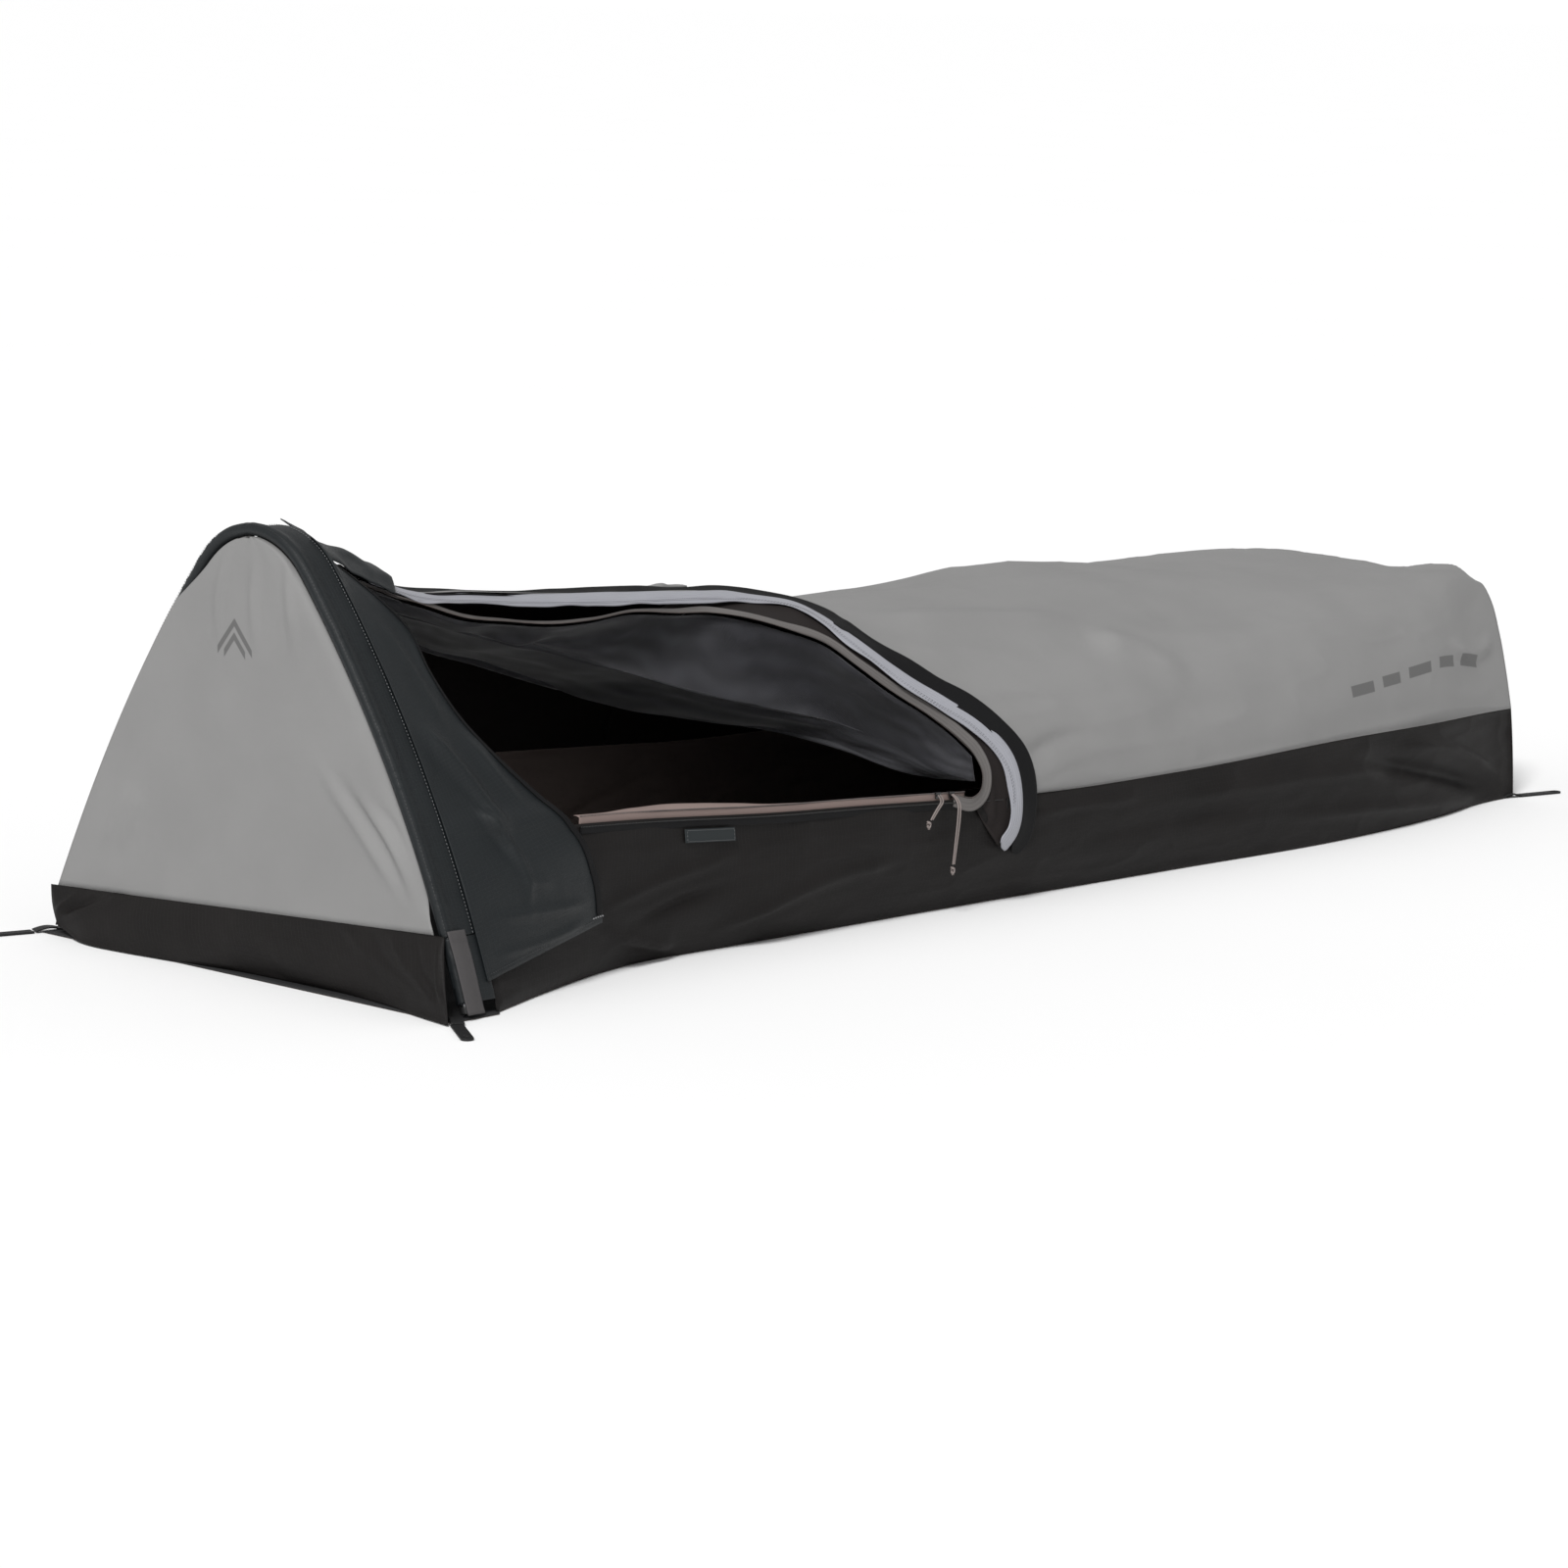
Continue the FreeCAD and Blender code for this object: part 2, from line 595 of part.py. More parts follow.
def cord_tube(name, points):
    """A round cord along straight runs joined by tangent arcs."""
    edges, start = [], points[0]
    length, radii = 0.0, []
    for before, point, after in zip(points, points[1:], points[2:]):
        run_in, run_out = point - before, after - point
        turn = run_in.getAngle(run_out)
        radius = 0.45 * min(run_in.Length, run_out.Length) / math.tan(turn / 2)
        back = radius * math.tan(turn / 2)
        a = point - V(run_in).normalize() * back
        b = point + V(run_out).normalize() * back
        inward = (V(run_out).normalize() - V(run_in).normalize()).normalize()
        middle = point + inward * (radius / math.cos(turn / 2) - radius)
        edges += [Part.LineSegment(start, a).toShape(), Part.Arc(a, middle, b).toShape()]
        length += start.distanceToPoint(a) + radius * turn
        radii.append(radius)
        start = b
    edges.append(Part.LineSegment(start, points[-1]).toShape())
    length += start.distanceToPoint(points[-1])
    section = Part.Wire(Part.makeCircle(cord_radius, points[0], points[1] - points[0]))
    tube = Part.Wire(edges).makePipeShell([section], True, True)
    expected = math.pi * cord_radius ** 2 * length
    print(name, "length %.1f volume share %.4f radii" % (length, tube.Volume / expected),
          ["%.0f" % r for r in radii])
    shapes[name] = tube


def make_mesh_sliders():
    """Two sliders on the mesh zip, each with a looped cord pull and its knot."""
    long_pull = [V(0, 0, 0), V(-1.5, -13, -5), V(-4.5, -16, -24), V(-9, -16, -54), V(-13, -15.5, -83)]
    short_pull = [V(0, 0, 0), V(-6, -13, -4), V(-20, -15.5, -13), V(-31, -16, -25)]
    long_spread, short_spread = (1.3, 1.8, 2.2, 1.8, 1.2), (1.8, 2.1, 2.2, 1.5)
    pulls = (("a", mesh_slider_a_x, short_pull, short_spread), ("b", mesh_slider_b_x, long_pull, long_spread))
    for letter, x, route, widths in pulls:
        place = tape_edge(x, fabric + 0.8, tape_above_wall)
        shapes["mesh_slider_" + letter] = along_zip(slider_body(), place)
        exit_point = place + V(0, -tape_thick / 2 - slider_play - slider_wall - cord_radius * 0.75, -1.5)
        for strand, spread in (("left", -1.0), ("right", 1.0)):
            points = [exit_point + p + V(spread * w, 0, 0) for p, w in zip(route, widths)]
            cord_tube("pull_cord_%s_%s" % (letter, strand), points)
        end = exit_point + route[-1]
        direction = (route[-1] - route[-2]).normalize()
        shapes["pull_knot_" + letter] = knot_solid(end + direction * seam_gap * 2, direction)


def make_fly_slider():
    """The outer zip's slider, parked under the storm flap, and the pull that hangs from its bridge."""
    place = tape_edge(fly_slider_x, -fly_tape_off - tape_thick, -fly_tape_drop)
    slider = slider_body()
    half = tape_thick / 2 + slider_play + slider_wall
    pin = Part.makeCylinder(pull_pin_radius, pull_thick + 1.4, V(0, -half + 0.1, -1.5), V(0, -1, 0))
    cap = Part.makeCylinder(pull_pin_radius * 1.8, 0.8, V(0, -half - pull_thick - 0.7, -1.5), V(0, -1, 0))
    shapes["fly_slider"] = along_zip(slider.fuse(pin).fuse(cap), V(place))
    face = -half - 0.3
    tab = box(-pull_width / 2, pull_width / 2, face - pull_thick, face, -1.5 - pull_length, 1.6)
    edges = [e for e in tab.Edges if abs(e.Vertexes[0].Y - e.Vertexes[1].Y) > 1]
    tab = tab.makeFillet(1.5, edges)
    hole = Part.makeCylinder(pull_pin_radius + pull_pin_play, 10, V(0, face + 2, -1.5), V(0, -1, 0))
    shapes["fly_slider_pull"] = along_zip(tab.cut(hole), V(place))
    return place


def make_label():
    """A plain sewn patch on the near wall."""
    sections = []
    for x in (label_x, label_x + label_length):
        high = top_line(x).z - label_drop
        low = high - label_height
        quad = [V(x, -wall_y(x, low) - 0.5, low), V(x, -wall_y(x, high) - 0.5, high)]
        sections.append(polygon(quad + [p - V(0, 1.0, 0) for p in reversed(quad)]))
    shapes["label_patch"] = ruled_solid(sections)


def stake_loop(corner, heading):
    """A webbing loop lying on the ground, with an eye for a stake near its end."""
    half = loop_width / 2
    end = loop_length - half
    outline = Part.Wire([
        Part.LineSegment(V(0, -half, 0), V(end, -half, 0)).toShape(),
        Part.Arc(V(end, -half, 0), V(loop_length, 0, 0), V(end, half, 0)).toShape(),
        Part.LineSegment(V(end, half, 0), V(0, half, 0)).toShape(),
        Part.LineSegment(V(0, half, 0), V(0, -half, 0)).toShape()])
    web = slab(outline, (0, 0, 1), loop_thick)
    eye = Part.makeCylinder(eye_radius, loop_thick * 3, V(loop_length - eye_from_end, 0, -loop_thick))
    web = web.cut(eye)
    web.rotate(V(0, 0, 0), V(0, 0, 1), heading)
    web.translate(corner)
    return web


head_corner_x = -sleeve_front - body_gap - fabric - 16.0
stakes = {
    "near_head_stake_loop": (V(head_corner_x, -corner_half, 0), 236.0),
    "far_head_stake_loop": (V(head_corner_x, corner_half, 0), 163.0),
    "near_foot_stake_loop": (V(sack_length, -foot_half, 0), 345.0),
    "far_foot_stake_loop": (V(sack_length, foot_half, 0), 18.0)}


def make_stake_loops():
    """Four loops, each a hair off the corner that it is sewn to."""
    for name, (corner, heading) in stakes.items():
        away = V(math.cos(math.radians(heading)), math.sin(math.radians(heading)), 0)
        start = corner + away * (loop_width / 2 + body_gap)
        stakes[name] = (start, heading)
        shapes[name] = stake_loop(start, heading)


make_pole()
make_sleeve()
make_head()
make_tub()
make_covers()
make_door_edge()
make_gusset()
make_wall_tapes()
make_mesh_sliders()
fly_pin = make_fly_slider()
make_label()
make_stake_loops()

# Origin: the centre of the whole sack's base
bounds = FreeCAD.BoundBox()
for shape in shapes.values():
    bounds.add(shape.BoundBox)
shift = V(-bounds.Center.x, -bounds.Center.y, 0)
os.makedirs("parts", exist_ok=True)
for name, shape in shapes.items():
    shape.translate(shift)
    shape.exportStep("parts/" + name + ".step")
print("shift %.3f %.3f" % (shift.x, shift.y))
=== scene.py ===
"""A single-hoop bivy sack with its side door open, dressed round its fixed frame.

Everything is in metres. Cloth is laid out in the sack's own directions: x runs from the hoop's plane to
the foot, y from the near (door) side, which is negative, to the far side, and z is up from the ground.
"""
from __future__ import annotations

import logging
import math
from dataclasses import dataclass, field
from enum import Enum
from typing import Callable, Sequence

import bmesh
import bpy
import numpy as np
from mathutils import Matrix, Vector

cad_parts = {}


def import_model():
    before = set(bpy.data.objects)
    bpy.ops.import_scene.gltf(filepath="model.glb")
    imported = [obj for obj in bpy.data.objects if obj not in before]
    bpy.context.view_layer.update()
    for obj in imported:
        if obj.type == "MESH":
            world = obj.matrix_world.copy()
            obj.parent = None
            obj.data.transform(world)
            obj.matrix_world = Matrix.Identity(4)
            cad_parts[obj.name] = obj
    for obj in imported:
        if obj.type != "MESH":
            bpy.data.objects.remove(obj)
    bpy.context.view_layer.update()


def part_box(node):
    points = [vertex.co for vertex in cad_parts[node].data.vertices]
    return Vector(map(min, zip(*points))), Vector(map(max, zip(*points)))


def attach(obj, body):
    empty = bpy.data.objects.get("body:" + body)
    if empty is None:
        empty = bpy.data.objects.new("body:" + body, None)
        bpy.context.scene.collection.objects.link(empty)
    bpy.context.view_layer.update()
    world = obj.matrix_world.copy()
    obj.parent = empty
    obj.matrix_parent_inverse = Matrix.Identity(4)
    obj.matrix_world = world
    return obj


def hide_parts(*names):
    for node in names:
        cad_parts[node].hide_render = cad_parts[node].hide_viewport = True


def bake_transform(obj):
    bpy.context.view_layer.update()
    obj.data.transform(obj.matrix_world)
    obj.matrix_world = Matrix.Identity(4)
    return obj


log = logging.getLogger("bivy")
Array = np.ndarray
CUT = "cut"                     # the UV map of every cloth piece, in metres of cloth
TURN = 2.0 * math.pi
MID_HEIGHT = 0.12               # height of the sack's middle, which its cloth faces away from
TIP_TO_LINE = 0.0087            # from the outer side of a pole tip to the pole's centre line
WELD = 2e-5                     # vertices nearer than this are one


class Side(Enum):
    """The two long sides of the sack."""
    NEAR = -1.0
    FAR = 1.0


class Weave(Enum):
    """How a cloth's surface is made."""
    PLAIN = "plain"
    RIPSTOP = "ripstop"
    OXFORD = "oxford"
    WEBBING = "webbing"
    RIBBED = "ribbed"


def ease(value: Array, low: float, high: float) -> Array:
    """A smooth step from 0 at low to 1 at high."""
    t = np.clip((value - low) / (high - low), 0.0, 1.0)
    return t * t * (3.0 - 2.0 * t)


def through(x: Array, stations: Sequence[float], values: Sequence[float]) -> Array:
    """A smooth curve through values at stations.

    Args:
        x: where to read the curve.
        stations: rising places where the value is known.
        values: the value at each place.

    Returns:
        The value at every x, flat beyond the ends.
    """
    s, v = np.asarray(stations, float), np.asarray(values, float)
    slope = np.gradient(v, s)
    x = np.clip(x, s[0], s[-1])
    i = np.clip(np.searchsorted(s, x, side="right") - 1, 0, len(s) - 2)
    span = s[i + 1] - s[i]
    t = (x - s[i]) / span
    bend_in, bend_out = t ** 3 - 2 * t * t + t, t ** 3 - t * t
    far = t * t * (3 - 2 * t)
    return v[i] * (1 - far) + v[i + 1] * far + span * (slope[i] * bend_in + slope[i + 1] * bend_out)


def even_curve(points: Sequence[Sequence[float]], count: int) -> Array:
    """A smooth curve through points of any dimension, read at even spacing.

    Args:
        points: the places it goes through; the first three numbers are x, y and z.
        count: how many places to return.

    Returns:
        An array of count rows.
    """
    p = np.asarray(points, float)
    along = np.concatenate([[0.0], np.cumsum(np.linalg.norm(np.diff(p[:, :3], axis=0), axis=1))])
    fine = np.linspace(0.0, along[-1], count * 4)
    dense = np.stack([through(fine, along, p[:, k]) for k in range(p.shape[1])], axis=1)
    run = np.concatenate([[0.0], np.cumsum(np.linalg.norm(np.diff(dense[:, :3], axis=0), axis=1))])
    even = np.linspace(0.0, run[-1], count)
    return np.stack([np.interp(even, run, dense[:, k]) for k in range(p.shape[1])], axis=1)


def along_curve(curve: Array, share: Array) -> Array:
    """Places at shares of a curve's rows, straight between one row and the next."""
    rows = np.linspace(0, 1, len(curve))
    return np.stack([np.interp(share, rows, curve[:, k]) for k in range(3)], -1)


def unit(vectors: Array) -> Array:
    """The same directions with length 1."""
    return vectors / np.maximum(np.linalg.norm(vectors, axis=-1, keepdims=True), 1e-9)


@dataclass(frozen=True)
class Crumple:
    """Smooth seeded unevenness over a cloth, as a height in metres."""
    seed: int
    size_u: float
    size_v: float
    height: float
    ridged: bool = False

    def at(self, u: Array, v: Array) -> Array:
        """The height at places given in metres of cloth."""
        table = np.random.RandomState(self.seed).uniform(-1.0, 1.0, (64, 64))
        a, b = u / self.size_u + 0.37 * self.seed, v / self.size_v + 0.71 * self.seed
        i, j = np.floor(a).astype(int), np.floor(b).astype(int)
        s, t = a - i, b - j
        s, t = s * s * (3 - 2 * s), t * t * (3 - 2 * t)
        corner = [table[(i + di) % 64, (j + dj) % 64] for di in (0, 1) for dj in (0, 1)]
        low = corner[0] * (1 - t) + corner[1] * t
        high = corner[2] * (1 - t) + corner[3] * t
        value = low * (1 - s) + high * s
        if self.ridged:
            value = 1.0 - 2.0 * np.sqrt(np.abs(value))
        return value * self.height


@dataclass(frozen=True)
class Fold:
    """A soft ridge in cloth along a curve, or a valley where its height is negative."""
    path: tuple
    width: float
    height: float
    fade: float = 0.3

    def at(self, places: Array) -> Array:
        """The fold's height at places in the sack's directions."""
        line = even_curve(self.path, 13)[:, :3]
        best = np.full(places.shape[:-1], 9.0)
        share = np.zeros(places.shape[:-1])
        for k, (a, b) in enumerate(zip(line, line[1:])):
            d = b - a
            t = np.clip(((places - a) @ d) / (d @ d), 0.0, 1.0)
            gap = np.linalg.norm(places - a - t[..., None] * d, axis=-1)
            nearer = gap < best
            best = np.where(nearer, gap, best)
            share = np.where(nearer, (k + t) / (len(line) - 1), share)
        taper = ease(share, 0.0, self.fade) * (1.0 - ease(share, 1.0 - self.fade, 1.0))
        return 1.6 * self.height * np.exp(-(best / (0.8 * self.width)) ** 2) * taper


@dataclass(frozen=True)
class Hoop:
    """The pole's centre line: a tight bend over the top and a slack one down each side."""
    height: float
    half_span: float
    crown_radius: float = 0.110
    crown_half_angle: float = math.radians(50.0)
    foot_lift: float = 0.014

    @property
    def joint(self) -> tuple[float, float]:
        """Half width and height where the two bends meet."""
        return (self.crown_radius * math.sin(self.crown_half_angle),
                self.height - self.crown_radius * (1 - math.cos(self.crown_half_angle)))

    @property
    def side(self) -> tuple[float, float, float, float]:
        """The side bend's radius, its turn, and its centre's offset and height."""
        y, z = self.joint
        run, drop = self.half_span - y, z - self.foot_lift
        turn = 2 * (math.atan2(drop, run) - self.crown_half_angle)
        radius = math.hypot(run, drop) / (2 * math.sin(turn / 2))
        offset = radius - self.crown_radius
        return (radius, turn, offset * math.sin(self.crown_half_angle),
                self.height - self.crown_radius - offset * math.cos(self.crown_half_angle))

    @property
    def length(self) -> float:
        """The pole's length from foot to foot."""
        radius, turn, _, _ = self.side
        return 2 * radius * turn + 2 * self.crown_radius * self.crown_half_angle

    def at(self, share: Array) -> tuple[Array, Array, Array, Array]:
        """Places on the hoop and the way out of it.

        Args:
            share: 0 at the near foot to 1 at the far foot.

        Returns:
            y, z and the outward direction's y and z.
        """
        radius, turn, cy, cz = self.side
        leg = radius * turn / self.length
        s = np.minimum(share, 1.0 - share)
        mirror = np.where(share > 0.5, -1.0, 1.0)
        on_leg = s < leg
        angle = np.where(on_leg, self.crown_half_angle + turn * (1 - s / leg),
                         self.crown_half_angle * (0.5 - s) / (0.5 - leg))
        r = np.where(on_leg, radius, self.crown_radius)
        y = np.where(on_leg, cy, 0.0) - r * np.sin(angle)
        z = np.where(on_leg, cz, self.height - self.crown_radius) + r * np.cos(angle)
        return y * mirror, z, -np.sin(angle) * mirror, np.cos(angle)

    def skin(self, share: Array, x: Array | float, off: Array | float) -> Array:
        """Places off the hoop's line, at a distance x behind its plane."""
        y, z, out_y, out_z = self.at(share)
        return np.stack([0 * share + x, y + out_y * off, z + out_z * off], axis=-1)

    def half_width(self, z: Array) -> Array:
        """Distance from the centre line to the pole at a height."""
        radius, _, cy, cz = self.side
        leg = np.sqrt(np.maximum(radius ** 2 - (z - cz) ** 2, 0.0)) - cy
        crown = np.sqrt(np.maximum(self.crown_radius ** 2 - (z - self.height + self.crown_radius) ** 2, 0.0))
        return np.where(z <= self.joint[1], leg, crown)

    def share_at(self, z: float) -> float:
        """The share of the length, from the near foot, where the near leg reaches a height."""
        radius, turn, _, cz = self.side
        angle = math.acos((z - cz) / radius)
        return radius * turn / self.length * (1 - (angle - self.crown_half_angle) / turn)


@dataclass(frozen=True)
class Form:
    """The filled-out shape of the sack behind its hoop, cross-section by cross-section."""
    hoop: Hoop
    length: float
    hoop_x: float
    centre_y: float
    front: float = 0.047
    wall_x: tuple = (0.047, 0.15, 0.33, 0.56, 0.70, 0.87, 0.945, 1.30, 1.65, 1.90, 2.06, 2.128)
    base: tuple = (0.3475, 0.309, 0.259, 0.260, 0.264, 0.269, 0.272, 0.289, 0.303, 0.282, 0.252, 0.249)
    middle: tuple = (0.3125, 0.299, 0.286, 0.290, 0.294, 0.297, 0.299, 0.308, 0.312, 0.287, 0.255, 0.246)
    seam: tuple = (0.2675, 0.276, 0.283, 0.288, 0.291, 0.295, 0.297, 0.303, 0.305, 0.280, 0.249, 0.240)
    seam_z: tuple = (0.190, 0.185, 0.176, 0.159, 0.1515, 0.141, 0.136, 0.131, 0.138, 0.133, 0.128, 0.126)
    ridge_x: tuple = (0.045, 0.086, 0.145, 0.206, 0.33, 0.525, 0.70, 0.87, 1.02, 1.17, 1.33, 1.66, 1.84, 1.93,
                      2.02, 2.09, 2.128)
    ridge_z: tuple = (0.506, 0.480, 0.444, 0.421, 0.408, 0.390, 0.379, 0.362, 0.357, 0.3545, 0.357, 0.348,
                      0.345, 0.340, 0.330, 0.318, 0.303)
    round_x: tuple = (0.05, 0.33, 0.945, 1.30, 1.65, 1.90, 2.06, 2.128)
    roundness: tuple = (1.40, 1.55, 1.80, 2.10, 2.50, 3.20, 4.20, 5.50)

    @classmethod
    def from_frame(cls) -> "Form":
        """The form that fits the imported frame."""
        low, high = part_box("pole_middle_section")
        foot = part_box("near_pole_tip")
        pole_radius = (high.x - low.x) / 2
        hoop_x, centre_y = (low.x + high.x) / 2, (low.y + high.y) / 2
        half_span = centre_y - (foot[0].y + TIP_TO_LINE)
        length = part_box("foot_end_panel")[1].x - hoop_x
        return cls(Hoop(high.z - pole_radius, half_span), length, hoop_x, centre_y)

    def world(self, places: Array) -> Array:
        """Places in the sack's directions as places in the frame."""
        return np.asarray(places, float) + np.array([self.hoop_x, self.centre_y, 0.0])

    def point(self, x: float, y: float, z: float) -> tuple[float, float, float]:
        """One place in the frame."""
        return tuple(float(n) for n in self.world(np.array([x, y, z])))

    def seam_height(self, x: Array) -> Array:
        """Height of the seam between wall and cover."""
        return through(x, self.wall_x, self.seam_z)

    def wall(self, x: Array, z: Array) -> Array:
        """Half width of the tub wall's outside."""
        low, mid, top = (through(x, self.wall_x, row) for row in (self.base, self.middle, self.seam))
        t = z / self.seam_height(x)
        return low * (1 - t) * (1 - 2 * t) + mid * 4 * t * (1 - t) + top * t * (2 * t - 1)

    def cover(self, x: Array, turn: Array) -> tuple[Array, Array]:
        """Places on the cover's section.

        Args:
            x: distance from the hoop.
            turn: 0 at the near seam, half a turn (pi) at the far seam.

        Returns:
            y and z.
        """
        seam, base_z = through(x, self.wall_x, self.seam), self.seam_height(x)
        ridge = through(x, self.ridge_x, self.ridge_z)
        power = 2.0 / through(x, self.round_x, self.roundness)
        c, s = np.cos(turn), np.sin(turn)
        y = -seam * np.sign(c) * np.abs(c) ** power
        z = base_z + (ridge - base_z) * np.abs(s) ** power
        start = self.hoop.share_at(self.seam_z[0])
        hy, hz, _, _ = self.hoop.at(start + (1 - 2 * start) * turn / math.pi)
        hy = hy * seam / float(self.hoop.half_width(np.array(self.seam_z[0])))
        hz = base_z + (hz - self.seam_z[0]) * (ridge - base_z) / (self.hoop.height - self.seam_z[0])
        k = 1 - ease(x, 0.045, 0.24)
        y, z = y * (1 - k) + hy * k, z * (1 - k) + hz * k
        share = turn / math.pi
        near = np.minimum(share, 1 - share)
        corner = ((0.0, 0.07, 0.14, 0.185, 0.215, 0.25, 0.31, 0.40, 0.50),
                  (1.0, 0.955, 0.895, 0.835, 0.775, 0.715, 0.56, 0.28, 0.0),
                  (0.0, 0.29, 0.60, 0.83, 0.955, 0.995, 1.0, 1.0, 1.0))
        side = np.where(share < 0.5, -1.0, 1.0)
        boxy_y = side * seam * through(near, corner[0], corner[1])
        boxy_z = base_z + (ridge - base_z) * through(near, corner[0], corner[2])
        k = ease(x, 1.86, 2.125)
        return y * (1 - k) + boxy_y * k, z * (1 - k) + boxy_z * k

    def cover_height(self, x: Array, y: Array) -> Array:
        """Height of the cover over a place, away from the hoop."""
        seam, base_z = through(x, self.wall_x, self.seam), self.seam_height(x)
        ridge = through(x, self.ridge_x, self.ridge_z)
        power = through(x, self.round_x, self.roundness)
        share = np.clip(np.abs(y) / seam, 0.0, 1.0)
        return base_z + (ridge - base_z) * (1 - share ** power) ** (1 / power)


@dataclass(frozen=True)
class Rig:
    """Settles cloth pieces that lie between the sack and the hoop by baking their placement; no bends are
    made.
    """
    form: Form
    lean: float = math.radians(55.0)
    reach: float = 0.11

    def hang(self, piece: bpy.types.Object) -> None:
        """Bakes a cloth piece's placement into its mesh and leaves its shape as it is."""
        start = self.form.point(0.0, 0.0, 0.0)
        end = self.form.point(-self.reach * math.sin(self.lean), 0.0, self.reach * math.cos(self.lean))
        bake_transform(piece)

    def base(self, piece: bpy.types.Object) -> None:
        """Bakes the placement of a cloth piece at the foot of the hoop into its mesh and leaves its shape as
        it is.
        """
        self.form.point(0, 0, 0.004)
        self.form.point(0, 0, 0.056)
        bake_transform(piece)


class Wire:
    """One value in a material, with the usual arithmetic."""

    def __init__(self, shader: "Shader", socket: bpy.types.NodeSocket) -> None:
        """Wraps an output socket of a material's node."""
        self.shader, self.socket = shader, socket

    def do(self, operation: str, *others: object) -> "Wire":
        """One Math node on this value and others."""
        links = dict(enumerate((self,) + others))
        return self.shader.value("ShaderNodeMath", {"operation": operation}, links)

    def __add__(self, other: object) -> "Wire":
        """The sum."""
        return self.do("ADD", other)

    __radd__ = __add__

    def __sub__(self, other: object) -> "Wire":
        """The difference."""
        return self.do("SUBTRACT", other)

    def __rsub__(self, other: object) -> "Wire":
        """The difference the other way round."""
        return (self * -1.0) + other

    def __mul__(self, other: object) -> "Wire":
        """The product."""
        return self.do("MULTIPLY", other)

    __rmul__ = __mul__

    def sine(self) -> "Wire":
        """The sine of an angle in radians."""
        return self.do("SINE")

    def size(self) -> "Wire":
        """The value without its sign."""
        return self.do("ABSOLUTE")

    def most(self, other: object) -> "Wire":
        """The larger of two values."""
        return self.do("MAXIMUM", other)

    def step(self, low: float, high: float) -> "Wire":
        """A smooth step from 0 at low to 1 at high."""
        links = {"Value": self, "From Min": low, "From Max": high, "To Min": 0.0, "To Max": 1.0}
        return self.shader.value("ShaderNodeMapRange", {"interpolation_type": "SMOOTHSTEP"}, links)

    def band(self, centre: float, half: float, soft: float) -> "Wire":
        """1 within half of a centre, falling to 0 over soft."""
        return 1.0 - (self - centre).size().step(half, half + soft)


class Shader:
    """One material's node tree, with one way to add to it."""

    def __init__(self, name: str) -> None:
        """Starts an empty material."""
        self.material = bpy.data.materials.new(name)
        self.material.use_nodes = True
        self.tree = self.material.node_tree
        self.tree.nodes.clear()

    def add(self, kind: str, settings: dict | None = None, links: dict | None = None) -> bpy.types.Node:
        """Adds a node.

        Args:
            kind: the node's type.
            settings: its own settings.
            links: values, colours or wires for its input sockets, by name or number.

        Returns:
            The new node.
        """
        node = self.tree.nodes.new(kind)
        for key, value in (settings or {}).items():
            setattr(node, key, value)
        for key, value in (links or {}).items():
            socket = node.inputs[key]
            if isinstance(value, Wire):
                self.tree.links.new(value.socket, socket)
            elif isinstance(value, bpy.types.NodeSocket):
                self.tree.links.new(value, socket)
            else:
                socket.default_value = value
        return node

    def value(self, kind: str, settings: dict | None, links: dict) -> Wire:
        """Adds a node and returns its first output as a value."""
        return Wire(self, self.add(kind, settings, links).outputs[0])

    def cloth(self) -> tuple[Wire, Wire, bpy.types.NodeSocket]:
        """The place on a cloth piece in metres of cloth: along, across, and both as a vector."""
        source = self.add("ShaderNodeUVMap", {"uv_map": CUT}).outputs[0]
        parts = self.add("ShaderNodeSeparateXYZ", None, {0: source})
        return Wire(self, parts.outputs[0]), Wire(self, parts.outputs[1]), source

    def place(self) -> bpy.types.NodeSocket:
        """The place in the frame in metres."""
        return self.add("ShaderNodeTexCoord").outputs["Object"]

    def noise(self, vector: bpy.types.NodeSocket, scale: float, detail: float = 3.0) -> Wire:
        """Soft noise from 0 to 1."""
        return self.value("ShaderNodeTexNoise", None, {"Vector": vector, "Scale": scale, "Detail": detail})

    def blend(self, share: object, a: object, b: object) -> bpy.types.NodeSocket:
        """Mixes two colours."""
        return self.add("ShaderNodeMix", {"data_type": "RGBA"}, {"Factor": share, 6: a, 7: b}).outputs[2]

    def bump(self, height: Wire, strength: float, distance: float) -> bpy.types.NodeSocket:
        """A bumped normal from a height."""
        links = {"Height": height, "Strength": strength, "Distance": distance}
        return self.add("ShaderNodeBump", None, links).outputs[0]

    def finish(self, **sockets: object) -> bpy.types.Material:
        """Ends the material with one principled surface and returns it."""
        named = {key.replace("_", " "): value for key, value in sockets.items()}
        surface = self.add("ShaderNodeBsdfPrincipled", None, named)
        self.add("ShaderNodeOutputMaterial", None, {"Surface": surface.outputs[0]})
        return self.material


def shade(colour: tuple, factor: float) -> tuple:
    """A colour made lighter or darker, as a shader colour."""
    return tuple(min(1.0, n * factor) for n in colour[:3]) + (1.0,)


